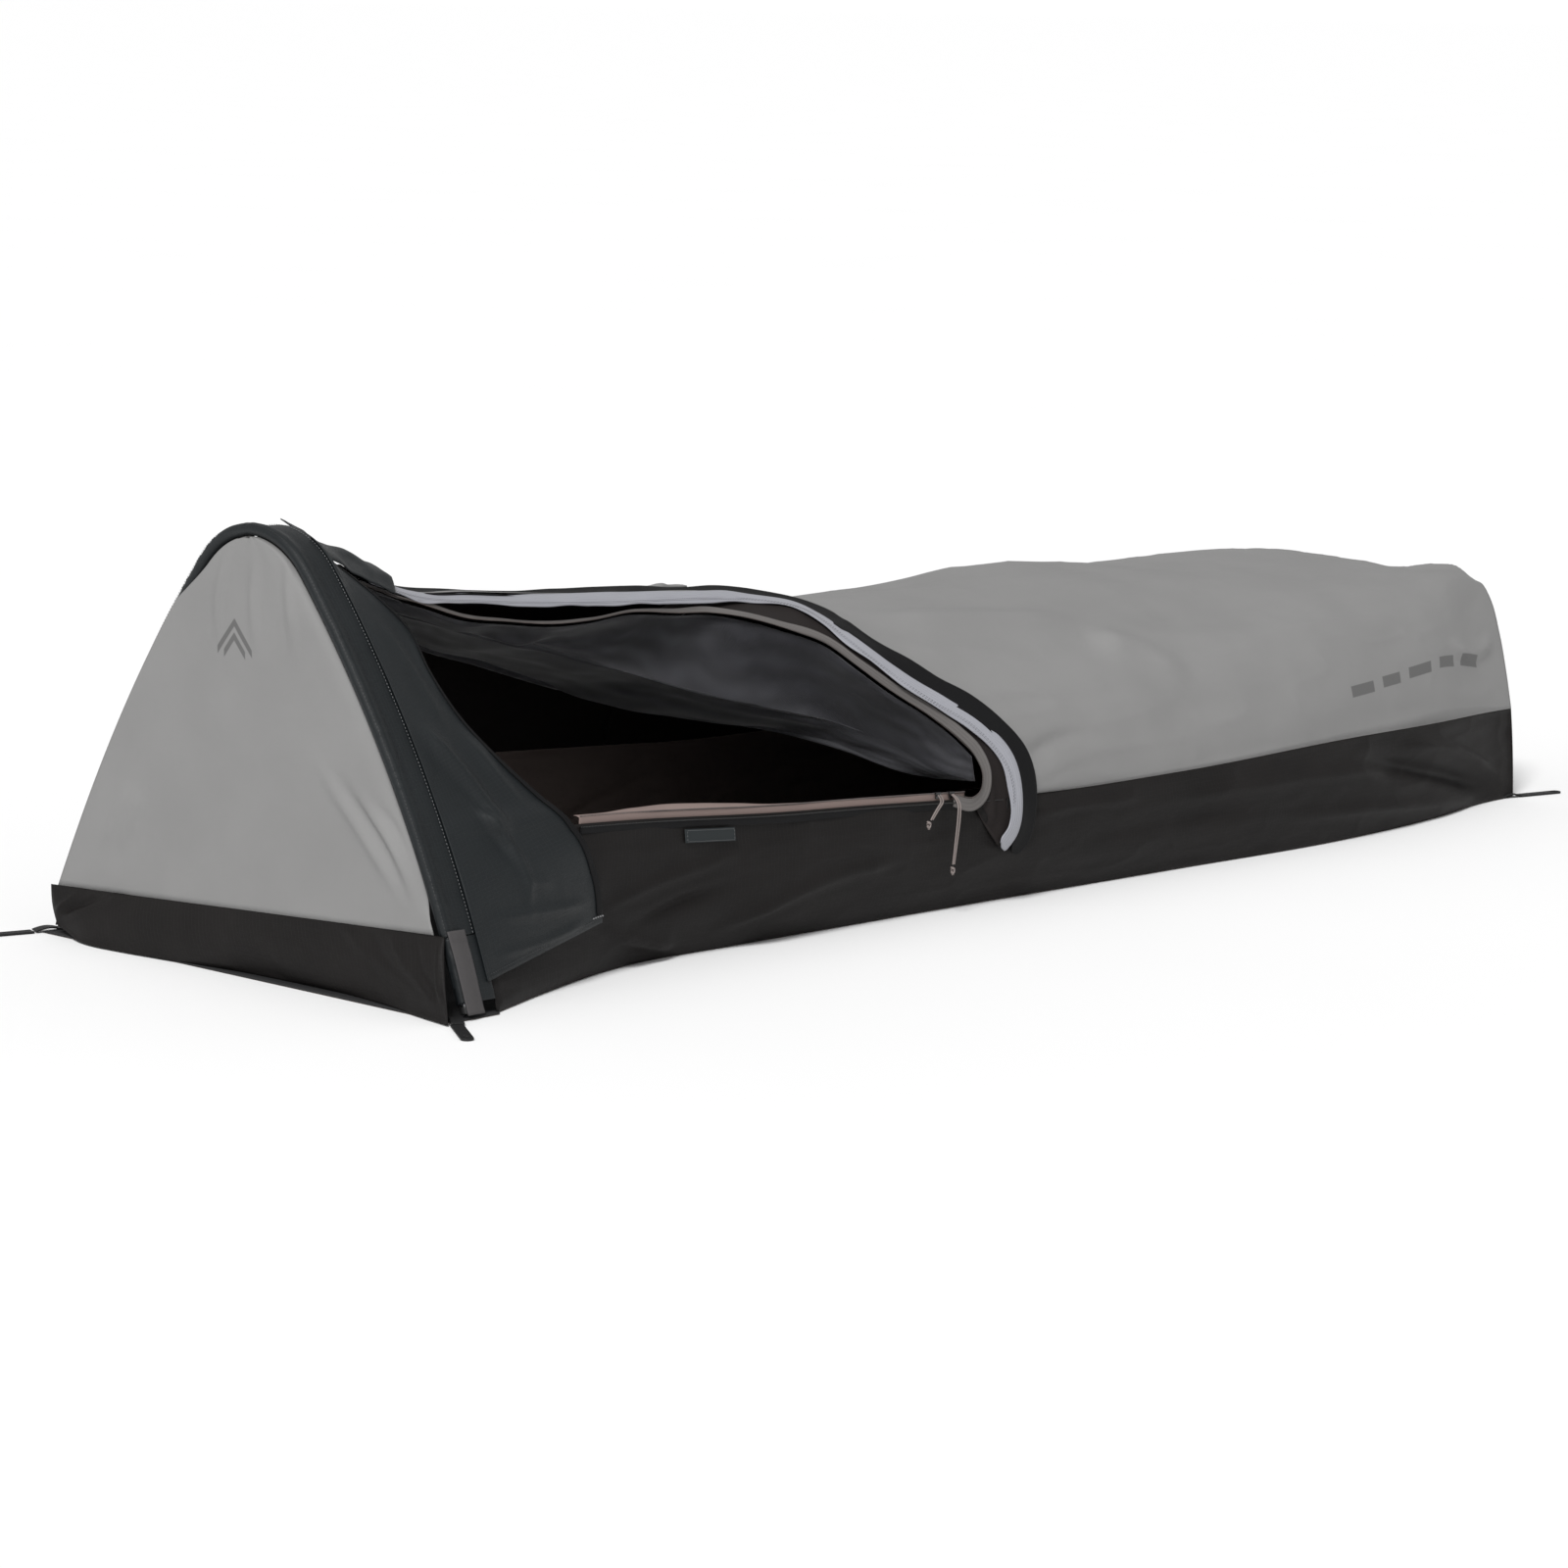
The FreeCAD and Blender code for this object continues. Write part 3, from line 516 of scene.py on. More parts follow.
@dataclass(frozen=True)
class Print:
    """A printed mark on a cloth: a bar, or two slanting bars that meet in a peak."""
    along: float
    across: float
    half_length: float
    half_width: float
    peak: bool = False
    dark: float = 0.52

    def mask(self, u: Wire, v: Wire) -> Wire:
        """1 on the mark, 0 off it."""
        a, b = u - self.along, v - self.across
        if self.peak:
            roof = b + a.size() * 1.15
            inside = a.size().step(self.half_length, self.half_length - 0.0012)
            outer = roof.band(self.half_width * 1.4, self.half_width * 0.42, 0.0008)
            inner = roof.band(-self.half_width * 0.2, self.half_width * 0.42, 0.0008)
            short = a.size().step(self.half_length * 0.62, self.half_length * 0.62 - 0.0012)
            return (outer * inside).most(inner * short)
        return a.band(0.0, self.half_length, 0.0012) * b.band(0.0, self.half_width, 0.0012)


@dataclass(frozen=True)
class Cloth:
    """A woven finish with its colour, weave, coating and prints."""
    name: str
    colour: tuple
    weave: Weave
    pitch: float = 0.0016
    roughness: float = 0.62
    gloss: float = 0.30
    mottle: float = 0.035
    line: float = 1.0
    relief: float = 0.35
    coat: float = 0.0
    prints: tuple = ()

    def threads(self, u: Wire, v: Wire) -> Wire:
        """The weave's height from 0 to 1."""
        fine = TURN / self.pitch
        if self.weave is Weave.RIBBED:
            return (v * fine).sine() * 0.5 + 0.5
        if self.weave is Weave.WEBBING:
            return ((u * fine).sine() * 0.5 + 0.5) * 0.5 + (((v + u) * fine * 0.5).sine() * 0.25 + 0.25)
        woven = (u * fine).sine() * (v * fine).sine() * 0.5 + 0.5
        if self.weave is Weave.RIPSTOP:
            grid = 4.2 * self.pitch
            line_u = (u * (TURN / grid / 2)).sine().size().step(0.16, 0.02)
            line_v = (v * (TURN / grid / 2)).sine().size().step(0.16, 0.02)
            return woven * 0.35 + line_u.most(line_v) * 0.65
        return woven

    def build(self) -> bpy.types.Material:
        """The finished material."""
        s = Shader(self.name)
        u, v, both = s.cloth()
        threads = self.threads(u, v)
        broad = s.noise(both, 9.0, 4.0)
        crinkle = s.noise(both, 95.0, 3.0)
        dark, light = shade(self.colour, 1 - self.mottle), shade(self.colour, 1 + self.mottle)
        base = s.blend(broad.step(0.3, 0.7), dark, light)
        base = s.blend(threads * 0.35, base, shade(self.colour, self.line))
        for mark in self.prints:
            base = s.blend(mark.mask(u, v), base, shade(self.colour, mark.dark))
        rough = broad * 0.16 + (self.roughness - 0.08) + threads * 0.05
        height = threads * 0.5 + crinkle * 0.8 + broad * 1.5
        return s.finish(Base_Color=base, Roughness=rough, Specular_IOR_Level=self.gloss,
                        Coat_Weight=self.coat, Coat_Roughness=0.35,
                        Normal=s.bump(height, self.relief, 0.0009))


@dataclass(frozen=True)
class Netting:
    """Fine insect mesh, see-through, with the drifting bands that two layers make."""
    name: str = "mesh_netting"
    colour: tuple = (0.010, 0.010, 0.0135)
    hole: float = 0.0019

    def build(self) -> bpy.types.Material:
        """The finished material."""
        s = Shader(self.name)
        u, v, both = s.cloth()
        drift = s.noise(both, 7.0, 2.0)
        across = (v * 260.0 + drift * 26.0).sine() * 0.5 + 0.5
        along = (u * 90.0 + drift * 30.0).sine() * 0.25 + 0.75
        bands = across * along
        base = s.blend(bands * 0.55, shade(self.colour, 1.0), shade((0.034, 0.034, 0.042), 1.0))
        turns = TURN / self.hole
        fine = (u * turns).sine() * (v * turns).sine() * 0.5 + 0.5
        return s.finish(Base_Color=base, Roughness=0.72 - bands * 0.12,
                        Sheen_Weight=0.25, Sheen_Roughness=0.5,
                        Alpha=0.93 - fine * 0.10, Normal=s.bump(fine + drift * 2.0, 0.3, 0.0006))


@dataclass(frozen=True)
class Solid:
    """Metal, moulded plastic or rubber, patterned on the place in the frame."""
    name: str
    colour: tuple
    roughness: float
    metallic: float = 0.0
    coat: float = 0.0
    grain: float = 900.0

    def build(self) -> bpy.types.Material:
        """The finished material."""
        s = Shader(self.name)
        place = s.place()
        grain, broad = s.noise(place, self.grain, 4.0), s.noise(place, 60.0, 3.0)
        base = s.blend(broad.step(0.35, 0.7), shade(self.colour, 0.85), shade(self.colour, 1.15))
        rough = grain * 0.12 + (self.roughness - 0.06)
        return s.finish(Base_Color=base, Roughness=rough, Metallic=self.metallic, Coat_Weight=self.coat,
                        Normal=s.bump(grain, 0.12, 0.0004))


class Finishes:
    """Every finish of the sack, made once."""
    grey = (0.228, 0.226, 0.224)
    tub = (0.0085, 0.0074, 0.0071)
    charcoal = (0.0090, 0.0112, 0.0125)

    def __init__(self) -> None:
        """Builds the materials."""
        head_mark = Print(0.022, 0.388, 0.030, 0.010, peak=True)
        bars = tuple(Print(1.700 + 0.075 * k, 0.058 + 0.002 * k, 0.028 - 0.006 * (k % 2), 0.0075)
                     for k in range(5))
        self.head = Cloth("grey_laminate_head", self.grey, Weave.PLAIN, prints=(head_mark,)).build()
        self.cover = Cloth("grey_laminate_cover", self.grey, Weave.PLAIN, prints=bars).build()
        self.door = Cloth("grey_laminate_door", self.grey, Weave.PLAIN).build()
        # Near-black painted shade on the inside faces of the head panel, covers, door, foot panel and gusset:
        # it stands in for the shade inside the sack, not for a dark cloth.
        self.lining = Cloth("lining_painted_shade", (0.018, 0.015, 0.0145), Weave.PLAIN, roughness=0.7,
                            gloss=0.12).build()
        self.inside = Cloth("tub_inside", (0.200, 0.158, 0.144), Weave.RIPSTOP, pitch=0.0014,
                            roughness=0.6).build()
        self.wall = Cloth("coated_tub_cloth", self.tub, Weave.RIPSTOP, pitch=0.0014, roughness=0.58,
                          gloss=0.16, mottle=0.22, line=1.5, relief=0.5).build()
        self.floor = Cloth("coated_floor_cloth", (0.020, 0.020, 0.021), Weave.PLAIN, roughness=0.7).build()
        self.ripstop = Cloth("charcoal_ripstop", self.charcoal, Weave.RIPSTOP, pitch=0.0011, roughness=0.46,
                             gloss=0.26, mottle=0.12, line=1.9, relief=0.55).build()
        self.patch = Cloth("brown_oxford", (0.066, 0.062, 0.063), Weave.OXFORD, pitch=0.0018,
                           roughness=0.7, relief=0.6).build()
        self.binding = Cloth("black_binding", (0.0050, 0.0050, 0.0055), Weave.PLAIN, roughness=0.6,
                             gloss=0.15).build()
        self.silver = Cloth("pale_zip_tape", (0.300, 0.304, 0.335), Weave.RIBBED, pitch=0.0042,
                            roughness=0.38, coat=0.25, relief=0.8).build()
        self.brown_tape = Cloth("brown_zip_tape", (0.120, 0.112, 0.108), Weave.RIBBED, pitch=0.0028,
                                roughness=0.65, relief=0.7).build()
        self.pink = Cloth("inside_facing", (0.245, 0.185, 0.168), Weave.PLAIN, roughness=0.7).build()
        self.webbing = Cloth("black_webbing", (0.010, 0.010, 0.0105), Weave.WEBBING, pitch=0.0020,
                             roughness=0.55, relief=0.9).build()
        self.label = Cloth("label_cloth", (0.016, 0.0205, 0.022), Weave.OXFORD, pitch=0.0015,
                           relief=0.6).build()
        self.cord = Cloth("braided_cord", (0.215, 0.182, 0.172), Weave.WEBBING, pitch=0.0012,
                          relief=0.8).build()
        self.thread = Solid("pale_thread", (0.20, 0.20, 0.205), 0.7).build()
        self.dark_thread = Solid("dark_thread", (0.040, 0.040, 0.042), 0.7).build()
        self.coil = Solid("brown_coil", (0.085, 0.070, 0.066), 0.45).build()
        self.netting = Netting().build()
        self.alloy = Solid("anodised_tube", (0.50, 0.50, 0.52), 0.34, metallic=1.0).build()
        self.bright = Solid("bright_ferrule", (0.72, 0.72, 0.74), 0.25, metallic=1.0).build()
        self.plastic = Solid("black_moulding", (0.016, 0.016, 0.016), 0.5, coat=0.1).build()
        self.lacquer = Solid("black_lacquer", (0.020, 0.019, 0.019), 0.32, metallic=0.5, coat=0.5).build()
        self.elastic = Solid("covered_elastic", (0.030, 0.030, 0.032), 0.8).build()


def dress(nodes: Sequence[str], material: bpy.types.Material) -> None:
    """Gives pieces of the frame a finish and leaves their shape alone."""
    for node in nodes:
        slots = bpy.data.objects[node].data.materials
        slots.clear()
        slots.append(material)


def as_object(mesh_name: str, bm: bmesh.types.BMesh,
              materials: Sequence[bpy.types.Material]) -> bpy.types.Object:
    """Ends a bmesh as a smooth-shaded object at the origin.

    Args:
        mesh_name: the piece's name.
        bm: the mesh in hand, which is freed.
        materials: its materials in slot order.

    Returns:
        The new object.
    """
    mesh = bpy.data.meshes.new(mesh_name)
    bm.to_mesh(mesh)
    bm.free()
    mesh.polygons.foreach_set("use_smooth", [True] * len(mesh.polygons))
    for material in materials:
        mesh.materials.append(material)
    piece = bpy.data.objects.new(mesh_name, mesh)
    bpy.context.scene.collection.objects.link(piece)
    log.info("%s: %d faces", mesh_name, len(mesh.polygons))
    return piece


@dataclass
class Panel:
    """A cloth piece: a grid laid on a surface, creased, and given a thickness.

    shape takes along and across shares from 0 to 1 and returns places in the sack's directions; inner
    returns places on the inside of it, and calm how much of the creasing is kept at a place.
    """
    name: str
    form: Form
    shape: Callable[[Array, Array], Array]
    along: int
    across: int
    thickness: float = 0.0012
    folds: tuple = ()
    crumples: tuple = ()
    rest_edges: float = 0.0
    closed: bool = False
    inner: Callable[[Array], Array] | None = None
    calm: Callable[[Array], Array] | None = None
    out: Array = field(init=False, repr=False, default=None)

    def lay(self) -> tuple[Array, Array, Array]:
        """The creased places with their cloth measures along and across."""
        u, v = np.meshgrid(np.linspace(0, 1, self.along), np.linspace(0, 1, self.across), indexing="ij")
        flat = self.shape(u, v)
        step_u = np.linalg.norm(np.diff(flat, axis=0), axis=-1).mean(axis=1)
        step_v = np.linalg.norm(np.diff(flat, axis=1), axis=-1).mean(axis=0)
        run = np.concatenate([[0.0], np.cumsum(step_u)])[:, None] + 0.0 * v
        rise = np.concatenate([[0.0], np.cumsum(step_v)])[None, :] + 0.0 * u
        out = unit(np.cross(np.gradient(flat, axis=0), np.gradient(flat, axis=1)))
        if self.inner is None:
            middle = np.stack([flat[..., 0], 0 * u, 0 * u + MID_HEIGHT], axis=-1)
        else:
            middle = self.inner(flat)
        if float(np.sum(out * (flat - middle))) < 0:
            out = -out
        lift = sum((c.at(run, rise) for c in self.crumples), np.zeros_like(u))
        lift = lift + sum((f.at(flat) for f in self.folds), np.zeros_like(u))
        if self.calm is not None:
            lift = lift * self.calm(flat)
        if self.rest_edges:
            edge = np.minimum(np.minimum(rise, rise[:, -1:] - rise), np.minimum(run, run[-1:, :] - run))
            lift = lift * ease(edge, 0.0, self.rest_edges)
        self.out = out
        return flat + out * lift[..., None], run, rise

    def build(self, materials: Sequence[bpy.types.Material]) -> bpy.types.Object:
        """Makes the piece.

        Args:
            materials: the outside's finish and, where it differs, the inside's.

        Returns:
            The piece's object.
        """
        places, run, rise = self.lay()
        world = self.form.world(places)
        bm = bmesh.new()
        bmesh.ops.create_grid(bm, x_segments=self.along - 1, y_segments=self.across - 1, size=1.0)
        cut = bm.loops.layers.uv.new(CUT)
        index = {}
        for vert in bm.verts:
            i = round((vert.co.x + 1) / 2 * (self.along - 1))
            j = round((vert.co.y + 1) / 2 * (self.across - 1))
            index[vert] = (i, j)
        for face in bm.faces:
            for loop in face.loops:
                loop[cut].uv = (run[index[loop.vert]], rise[index[loop.vert]])
        middle = self.out.shape[0] // 2, self.out.shape[1] // 2
        for vert, key in index.items():
            vert.co = world[key]
        probe = min(bm.faces, key=lambda f: (Vector(world[middle]) - f.verts[0].co).length_squared)
        probe.normal_update()
        if probe.normal.dot(Vector(self.out[middle])) < 0:
            bmesh.ops.reverse_faces(bm, faces=bm.faces)
        merge = [v for v in bm.verts if self.closed or v.is_boundary]
        bmesh.ops.remove_doubles(bm, verts=merge, dist=WELD)
        bmesh.ops.dissolve_degenerate(bm, edges=bm.edges, dist=1e-6)
        if self.closed:
            bmesh.ops.holes_fill(bm, edges=[e for e in bm.edges if e.is_boundary], sides=0)
        piece = as_object(self.name, bm, materials)
        if not self.closed:
            wall = piece.modifiers.new("cloth", "SOLIDIFY")
            wall.thickness, wall.offset = self.thickness, -1.0
            if len(materials) > 1:
                wall.material_offset = 1
        return piece


@dataclass
class Ribbon:
    """A flat band that follows a line, such as a zip tape or a binding.

    Each point of the line is x, y, z and lean: the angle in degrees from flat (0) to facing the near
    side (90). A fifth number, where given, is the share of the width there. The band lies from low to
    high across the line, towards the opening.
    """
    name: str
    form: Form
    line: tuple
    low: float
    high: float
    lift: float = 0.0
    thickness: float = 0.0011
    along: int = 260
    across: int = 9
    wave: float = 0.0
    wave_length: float = 0.07
    curl: float = 0.0
    end_round: float = 0.0
    start_round: float = 0.0
    seed: int = 3
    width_share: Array = field(init=False, repr=False, default=None)

    def frame(self) -> tuple[Array, Array, Array]:
        """The line, the direction across it and the way out of the band."""
        curve = even_curve(self.line, self.along)
        self.width_share = curve[:, 4] if curve.shape[1] > 4 else np.ones(self.along)
        ahead = unit(np.gradient(curve[:, :3], axis=0))
        lean = np.radians(curve[:, 3])
        out = np.stack([0 * lean, -np.sin(lean), np.cos(lean)], axis=1)
        out = unit(out - ahead * np.sum(out * ahead, axis=1, keepdims=True))
        return curve[:, :3], np.cross(ahead, out), out

    def edge(self, across: float, lift: float = 0.0) -> Array:
        """A line along the band at a distance across it."""
        line, side, out = self.frame()
        return line + side * across + out * lift

    def build(self, materials: Sequence[bpy.types.Material]) -> bpy.types.Object:
        """Makes the band."""
        line, side, out = self.frame()
        run = np.concatenate([[0.0], np.cumsum(np.linalg.norm(np.diff(line, axis=0), axis=1))])
        narrow = self.width_share.copy()
        for size, gap in ((self.end_round, run[-1] - run), (self.start_round, run)):
            if size:
                near = np.clip(1 - gap / size, 0.0, 1.0)
                narrow = narrow * np.sqrt(np.maximum(1 - near ** 2, 0.0025))
        drift = Crumple(self.seed, self.wave_length, 1.0, self.wave)
        ruffle = Crumple(self.seed + 7, self.wave_length * 0.8, 0.02, self.wave * 0.8)

        def shape(u: Array, v: Array) -> Array:
            """Places on the band, rounded at its ends and ruffled."""
            i = np.rint(u * (self.along - 1)).astype(int)
            centre = (self.low + self.high) / 2
            w = centre + (self.low + (self.high - self.low) * v - centre) * narrow[i]
            w = w + drift.at(run[i], 0 * u)
            share = 2 * v - 1
            height = self.lift + ruffle.at(run[i], w) + self.curl * share ** 2 * narrow[i]
            return line[i] + side[i] * w[..., None] + out[i] * height[..., None]

        panel = Panel(self.name, self.form, shape, self.along, self.across, self.thickness,
                      inner=lambda p: p - out[len(out) // 2])
        return panel.build(materials)


@dataclass
class Stitches:
    """A row of small stitches along a line that lies on cloth."""
    name: str
    form: Form
    line: Array
    pitch: float = 0.0042
    length: float = 0.0030
    width: float = 0.0007

    def build(self, material: bpy.types.Material) -> bpy.types.Object:
        """Makes the row as one piece."""
        total = float(np.sum(np.linalg.norm(np.diff(self.line, axis=0), axis=1)))
        spots = even_curve(self.line, max(3, int(total / self.pitch)))
        bm = bmesh.new()
        for a, b in zip(spots, spots[1:]):
            centre = Vector(self.form.world((a + b) / 2))
            turn = Vector(b - a).to_track_quat("X", "Z").to_matrix().to_4x4()
            scale = Matrix.Diagonal((self.length / 2, self.width / 2, self.width / 2, 1.0))
            bmesh.ops.create_icosphere(bm, subdivisions=1, radius=1.0,
                                       matrix=Matrix.Translation(centre) @ turn @ scale)
        bm.loops.layers.uv.new(CUT)
        return as_object(self.name, bm, [material])


@dataclass(frozen=True)
class Camera:
    """The view and the light of a plain studio, placed from the sack's form."""
    form: Form
    eye: tuple = (-3.604, -4.171, 1.115)
    yaw: float = math.radians(42.95)
    pitch: float = math.radians(9.20)
    roll: float = math.radians(-0.87)
    lens: float = 112.5
    reach: float = 1500.0
    sun: float = 2.6
    towards: tuple = (-0.60, -0.30, 0.74)
    sky: float = 0.52
    floor_half: float = 400.0
    rim_from: float = 350.0
    rim_height: float = 14.0

    def place(self) -> None:
        """Creates the camera."""
        data = bpy.data.cameras.new("camera")
        data.lens, data.sensor_width, data.clip_end = self.lens, 36.0, self.reach
        camera = bpy.data.objects.new("camera", data)
        ahead = Vector((math.cos(self.yaw) * math.cos(self.pitch),
                        math.sin(self.yaw) * math.cos(self.pitch), -math.sin(self.pitch)))
        level = Vector((math.sin(self.yaw), -math.cos(self.yaw), 0.0))
        upright = level.cross(ahead)
        right = level * math.cos(self.roll) - upright * math.sin(self.roll)
        up = level * math.sin(self.roll) + upright * math.cos(self.roll)
        turn = Matrix((right, up, -ahead)).transposed().to_4x4()
        camera.matrix_world = Matrix.Translation(self.form.point(*self.eye)) @ turn
        bpy.context.scene.collection.objects.link(camera)
        bpy.context.scene.camera = camera

    def light(self) -> None:
        """Creates the floor, the sky and one soft sun."""
        bm = bmesh.new()
        bmesh.ops.create_grid(bm, x_segments=8, y_segments=8, size=self.floor_half)
        for vert in bm.verts:
            on_rim = max(abs(vert.co.x), abs(vert.co.y)) > self.rim_from
            vert.co.z = self.rim_height if on_rim else 0.0
        bm.loops.layers.uv.new(CUT)
        ground = as_object("studio_floor", bm, [])
        s = Shader("studio_floor")
        tone = s.noise(s.place(), 1.5, 2.0)
        white = s.blend(tone, (0.90, 0.90, 0.90, 1), (0.92, 0.92, 0.92, 1))
        ground.data.materials.append(s.finish(Base_Color=white, Roughness=0.9))
        ground.location.z = -0.0005
        world = bpy.data.worlds.new("studio")
        world.use_nodes = True
        sky = world.node_tree.nodes["Background"]
        sky.inputs["Color"].default_value = (1.0, 1.0, 1.0, 1.0)
        sky.inputs["Strength"].default_value = self.sky
        bpy.context.scene.world = world
        data = bpy.data.lights.new("key", "SUN")
        data.energy, data.angle = self.sun, math.radians(16.0)
        key = bpy.data.objects.new("key", data)
        key.location = self.form.point(-2.0, -2.0, 3.0)
        key.rotation_euler = Vector(self.towards).to_track_quat("Z", "Y").to_euler()
        bpy.context.scene.collection.objects.link(key)
        bpy.context.scene.view_settings.view_transform = "Standard"


@dataclass
class Pulls:
    """The cord pulls of the two mesh-zip sliders, with their knots."""
    form: Form
    finishes: Finishes
    diameter: float = 0.002
    long_route: tuple = ((0, 0, 0), (-0.0015, -0.013, -0.005), (-0.0045, -0.016, -0.024),
                         (-0.009, -0.016, -0.054), (-0.013, -0.0155, -0.083))
    long_spread: tuple = (0.0013, 0.0018, 0.0022, 0.0018, 0.0012)
    short_route: tuple = ((0, 0, 0), (-0.006, -0.013, -0.004), (-0.020, -0.0155, -0.013),
                          (-0.031, -0.016, -0.025))
    short_spread: tuple = (0.0018, 0.0021, 0.0022, 0.0015)

    def build(self) -> None:
        """Makes both pulls: two strands and a knot each."""
        jobs = (("a", self.short_route, self.short_spread, 0.0469),
                ("b", self.long_route, self.long_spread, 0.0919))
        for letter, route, spread, length in jobs:
            low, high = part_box(f"mesh_slider_{letter}")
            body = f"mesh_pull_{letter}"
            knot = self.knot(letter)
            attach(knot, body)
            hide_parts(f"pull_knot_{letter}")
            for strand, sign in (("left", -1.0), ("right", 1.0)):
                node = f"pull_cord_{letter}_{strand}"
                middle = (low.x + high.x) / 2
                start = Vector((middle + sign * spread[0], *self.exit_of(route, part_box(node)[1])))
                points = [start + Vector(p) + Vector((sign * (w - spread[0]), 0, 0))
                          for p, w in zip(route, spread)]
                piece = self.strand(f"{node}_braid", points)
                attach(piece, body)
                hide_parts(node)

    def exit_of(self, route: tuple, high: Vector) -> tuple[float, float]:
        """The y and z where a strand leaves its slider, from the top of the strand's own box."""
        slope = Vector(route[1]).normalized()
        radius = self.diameter / 2
        return high.y - radius * math.sqrt(1 - slope.y ** 2), high.z - radius * math.sqrt(1 - slope.z ** 2)

    def strand(self, name: str, points: list[Vector]) -> bpy.types.Object:
        """A round braided cord on a smooth line through its control points."""
        data = bpy.data.curves.new(name, "CURVE")
        data.dimensions = "3D"
        spline = data.splines.new("NURBS")
        spline.points.add(len(points) - 1)
        for point, place in zip(spline.points, points):
            point.co = (*place, 1.0)
        spline.order_u = 3
        spline.use_endpoint_u = True
        spline.resolution_u = 8
        data.bevel_depth, data.bevel_resolution, data.use_fill_caps = self.diameter / 2, 3, True
        data.materials.append(self.finishes.cord)
        piece = bpy.data.objects.new(name, data)
        bpy.context.scene.collection.objects.link(piece)
        log.info("%s: %d control points", name, len(points))
        return piece

    def knot(self, letter: str) -> bpy.types.Object:
        """A pulled-down overhand knot: a wound lump with two short frayed tails."""
        low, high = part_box(f"pull_knot_{letter}")
        centre = (low + high) / 2
        size = high - low
        bm = bmesh.new()
        for k, tilt in enumerate((0.35, -0.5, 0.15)):
            ring_turn = Matrix.Rotation(tilt, 4, "X") @ Matrix.Rotation(tilt * 0.6 + k, 4, "Y")
            spot = centre + Vector((0.0, 0.0, size.z * 0.20 - 0.0022 * k))
            stand = Matrix.Translation((0.0021, 0, 0)) @ Matrix.Rotation(math.pi / 2, 4, "X")
            ring = bmesh.ops.create_circle(bm, segments=10, radius=0.00105, matrix=stand)["verts"]
            bmesh.ops.spin(bm, geom=ring + list({e for v in ring for e in v.link_edges}),
                           cent=(0, 0, 0), axis=(0, 0, 1), angle=TURN, steps=18, use_merge=True)
            verts = list({v for v in bm.verts if v.index == -1 or not v.tag})
            bmesh.ops.transform(bm, matrix=Matrix.Translation(spot) @ ring_turn, verts=verts)
            for v in bm.verts:
                v.tag = True
        for sign in (-1.0, 1.0):
            lean = Matrix.Rotation(0.32 * sign, 4, "Y")
            spot = centre + Vector((0.0012 * sign, 0.0, -size.z * 0.26))
            bmesh.ops.create_cone(bm, cap_ends=True, segments=10, radius1=0.0012, radius2=0.0009,
                                  depth=size.z * 0.46, matrix=Matrix.Translation(spot) @ lean)
        bmesh.ops.remove_doubles(bm, verts=bm.verts, dist=1e-5)
        bmesh.ops.recalc_face_normals(bm, faces=bm.faces)
        bm.loops.layers.uv.new(CUT)
        return as_object(f"pull_knot_{letter}_wound", bm, [self.finishes.cord])


